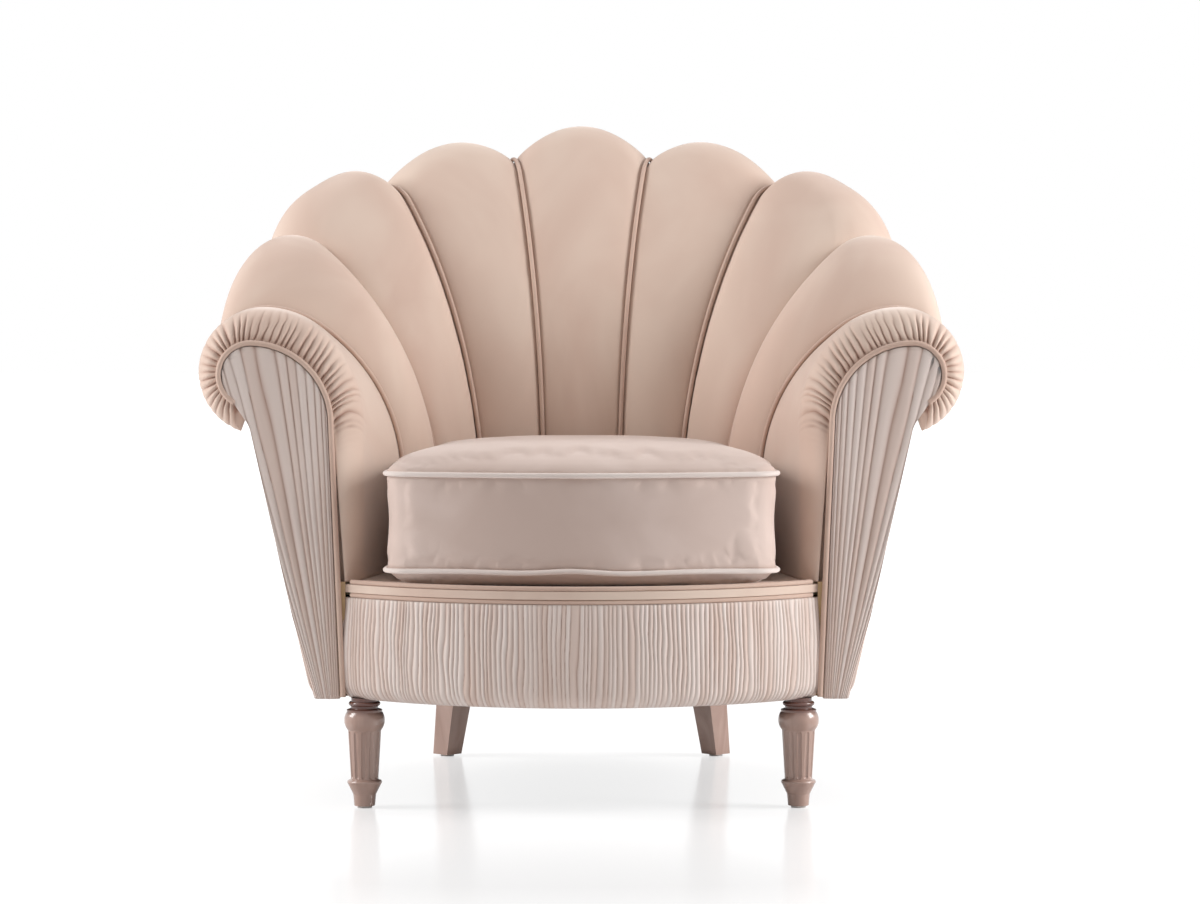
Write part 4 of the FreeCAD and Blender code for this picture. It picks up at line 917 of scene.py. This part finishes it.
NODE_MATERIALS = {
    "leg_wood": turned_wood(),
    "plywood": plain("raw_plywood", (0.58, 0.40, 0.22, 1), 0.7),
    "frame_timber": plain("raw_hardwood", (0.50, 0.32, 0.17, 1), 0.7),
    "steel": plain("plated_steel", (0.6, 0.6, 0.6, 1), 0.35, 1.0),
    "nylon": plain("white_nylon", (0.8, 0.79, 0.76, 1), 0.45),
    "webbing": plain("jute_webbing", (0.30, 0.20, 0.10, 1), 0.9),
    "foam": plain("seat_foam", (0.85, 0.80, 0.62, 1), 0.9),
    "dust_cloth": DUST_CLOTH,
    "zip_tape": PALE_PIPING,
    "zip_metal": plain("zip_metal", (0.5, 0.46, 0.4, 1), 0.3, 1.0),
    "velvet": VELVET,
    "piping": PIPING,
    "pleats": PLEATS,
}
for row in frame["record"]["subparts"]:
    node = frame["nodes"][row["node"]]
    node.data.materials.clear()
    node.data.materials.append(NODE_MATERIALS[row["material_slot"]])


# Stage, light and camera
def floor_sheet(material, half_width=30):
    """The studio's floor, a square in metres that isn't a part of the chair."""
    mesh = bpy.data.meshes.new("floor")
    corners = [(-half_width, -half_width, 0), (half_width, -half_width, 0), (half_width, half_width, 0),
               (-half_width, half_width, 0)]
    mesh.from_pydata(corners, [], [(0, 1, 2, 3)])
    mesh.materials.append(material)
    made = placed("floor", mesh)


def studio_floor(near=0.42, glow=1.3):
    """White glossy floor. A share of plain white light is added where the camera sees it, all of it
    away from the chair, so that floor and background run into each other and the shadow stays."""
    material, tree, shader = nodes_of("white_gloss_floor")
    put(tree, shader, Base_Color=(0.93, 0.92, 0.92, 1), Roughness=0.16)
    coordinates = tree.nodes.new("ShaderNodeTexCoord")
    distance = add(tree, "ShaderNodeVectorMath", Vector=coordinates.outputs["Object"])
    distance.operation = "LENGTH"
    halved = maths(tree, "MULTIPLY", distance.outputs["Value"], 0.5)
    far = ramp(tree, halved, [(0.5, (near, near, near, 1)), (1.0, WHITE)])
    seen = tree.nodes.new("ShaderNodeLightPath")
    share = maths(tree, "MULTIPLY", far, seen.outputs["Is Camera Ray"])
    white = add(tree, "ShaderNodeEmission", Color=WHITE, Strength=glow)
    blend = mix_shader(tree, share, shader.outputs[0], white.outputs[0])
    tree.links.new(blend, tree.nodes["Material Output"].inputs["Surface"])
    return material


def studio_world(light=0.28):
    """White surroundings: plain white to the camera and in reflections, and a soft light elsewhere."""
    world = bpy.data.worlds.new("studio_white")
    bpy.context.scene.world = world
    world.use_nodes = True
    tree = world.node_tree
    surroundings = put(tree, tree.nodes["Background"], Color=WHITE, Strength=light)
    seen = add(tree, "ShaderNodeBackground", Color=WHITE, Strength=1.0)
    ray = tree.nodes.new("ShaderNodeLightPath")
    share = maths(tree, "MAXIMUM", ray.outputs["Is Camera Ray"], ray.outputs["Is Glossy Ray"])
    blend = mix_shader(tree, share, surroundings.outputs[0], seen.outputs[0])
    tree.links.new(blend, tree.nodes["World Output"].inputs["Surface"])


def softbox(name, place_at, aim, power, size):
    """A square area lamp at a place, in metres, turned to face its aim."""
    lamp = bpy.data.lights.new(name, "AREA")
    lamp.energy = power
    lamp.size = size
    made = placed(name, lamp)
    made.location = place_at
    direction = np.array(aim, float) - np.array(place_at, float)
    made.rotation_euler = Vector(direction).to_track_quat("-Z", "Y").to_euler()


floor_sheet(studio_floor())
studio_world()
softbox("key", (2.9, -0.6, 1.6), (0, 0, 0.5), 80, 1.5)
softbox("side", (-2.9, -0.4, 1.8), (0, 0, 0.5), 70, 1.5)
softbox("top", (0, 1.0, 2.9), (0, 0, 0.4), 14, 1.8)

CAMERA_PLACE = (0, -5.467, 0.685)
CAMERA_DOWN = 2.263
CAMERA_RIGHT = 0.275
camera_data = bpy.data.cameras.new("camera")
camera_data.sensor_width = 36
camera_data.lens = 115.4
camera = placed("camera", camera_data)
camera.location = CAMERA_PLACE
camera.rotation_euler = (radians(90 - CAMERA_DOWN), 0, radians(-CAMERA_RIGHT))
bpy.context.scene.camera = camera
bpy.context.scene.view_settings.view_transform = "Standard"
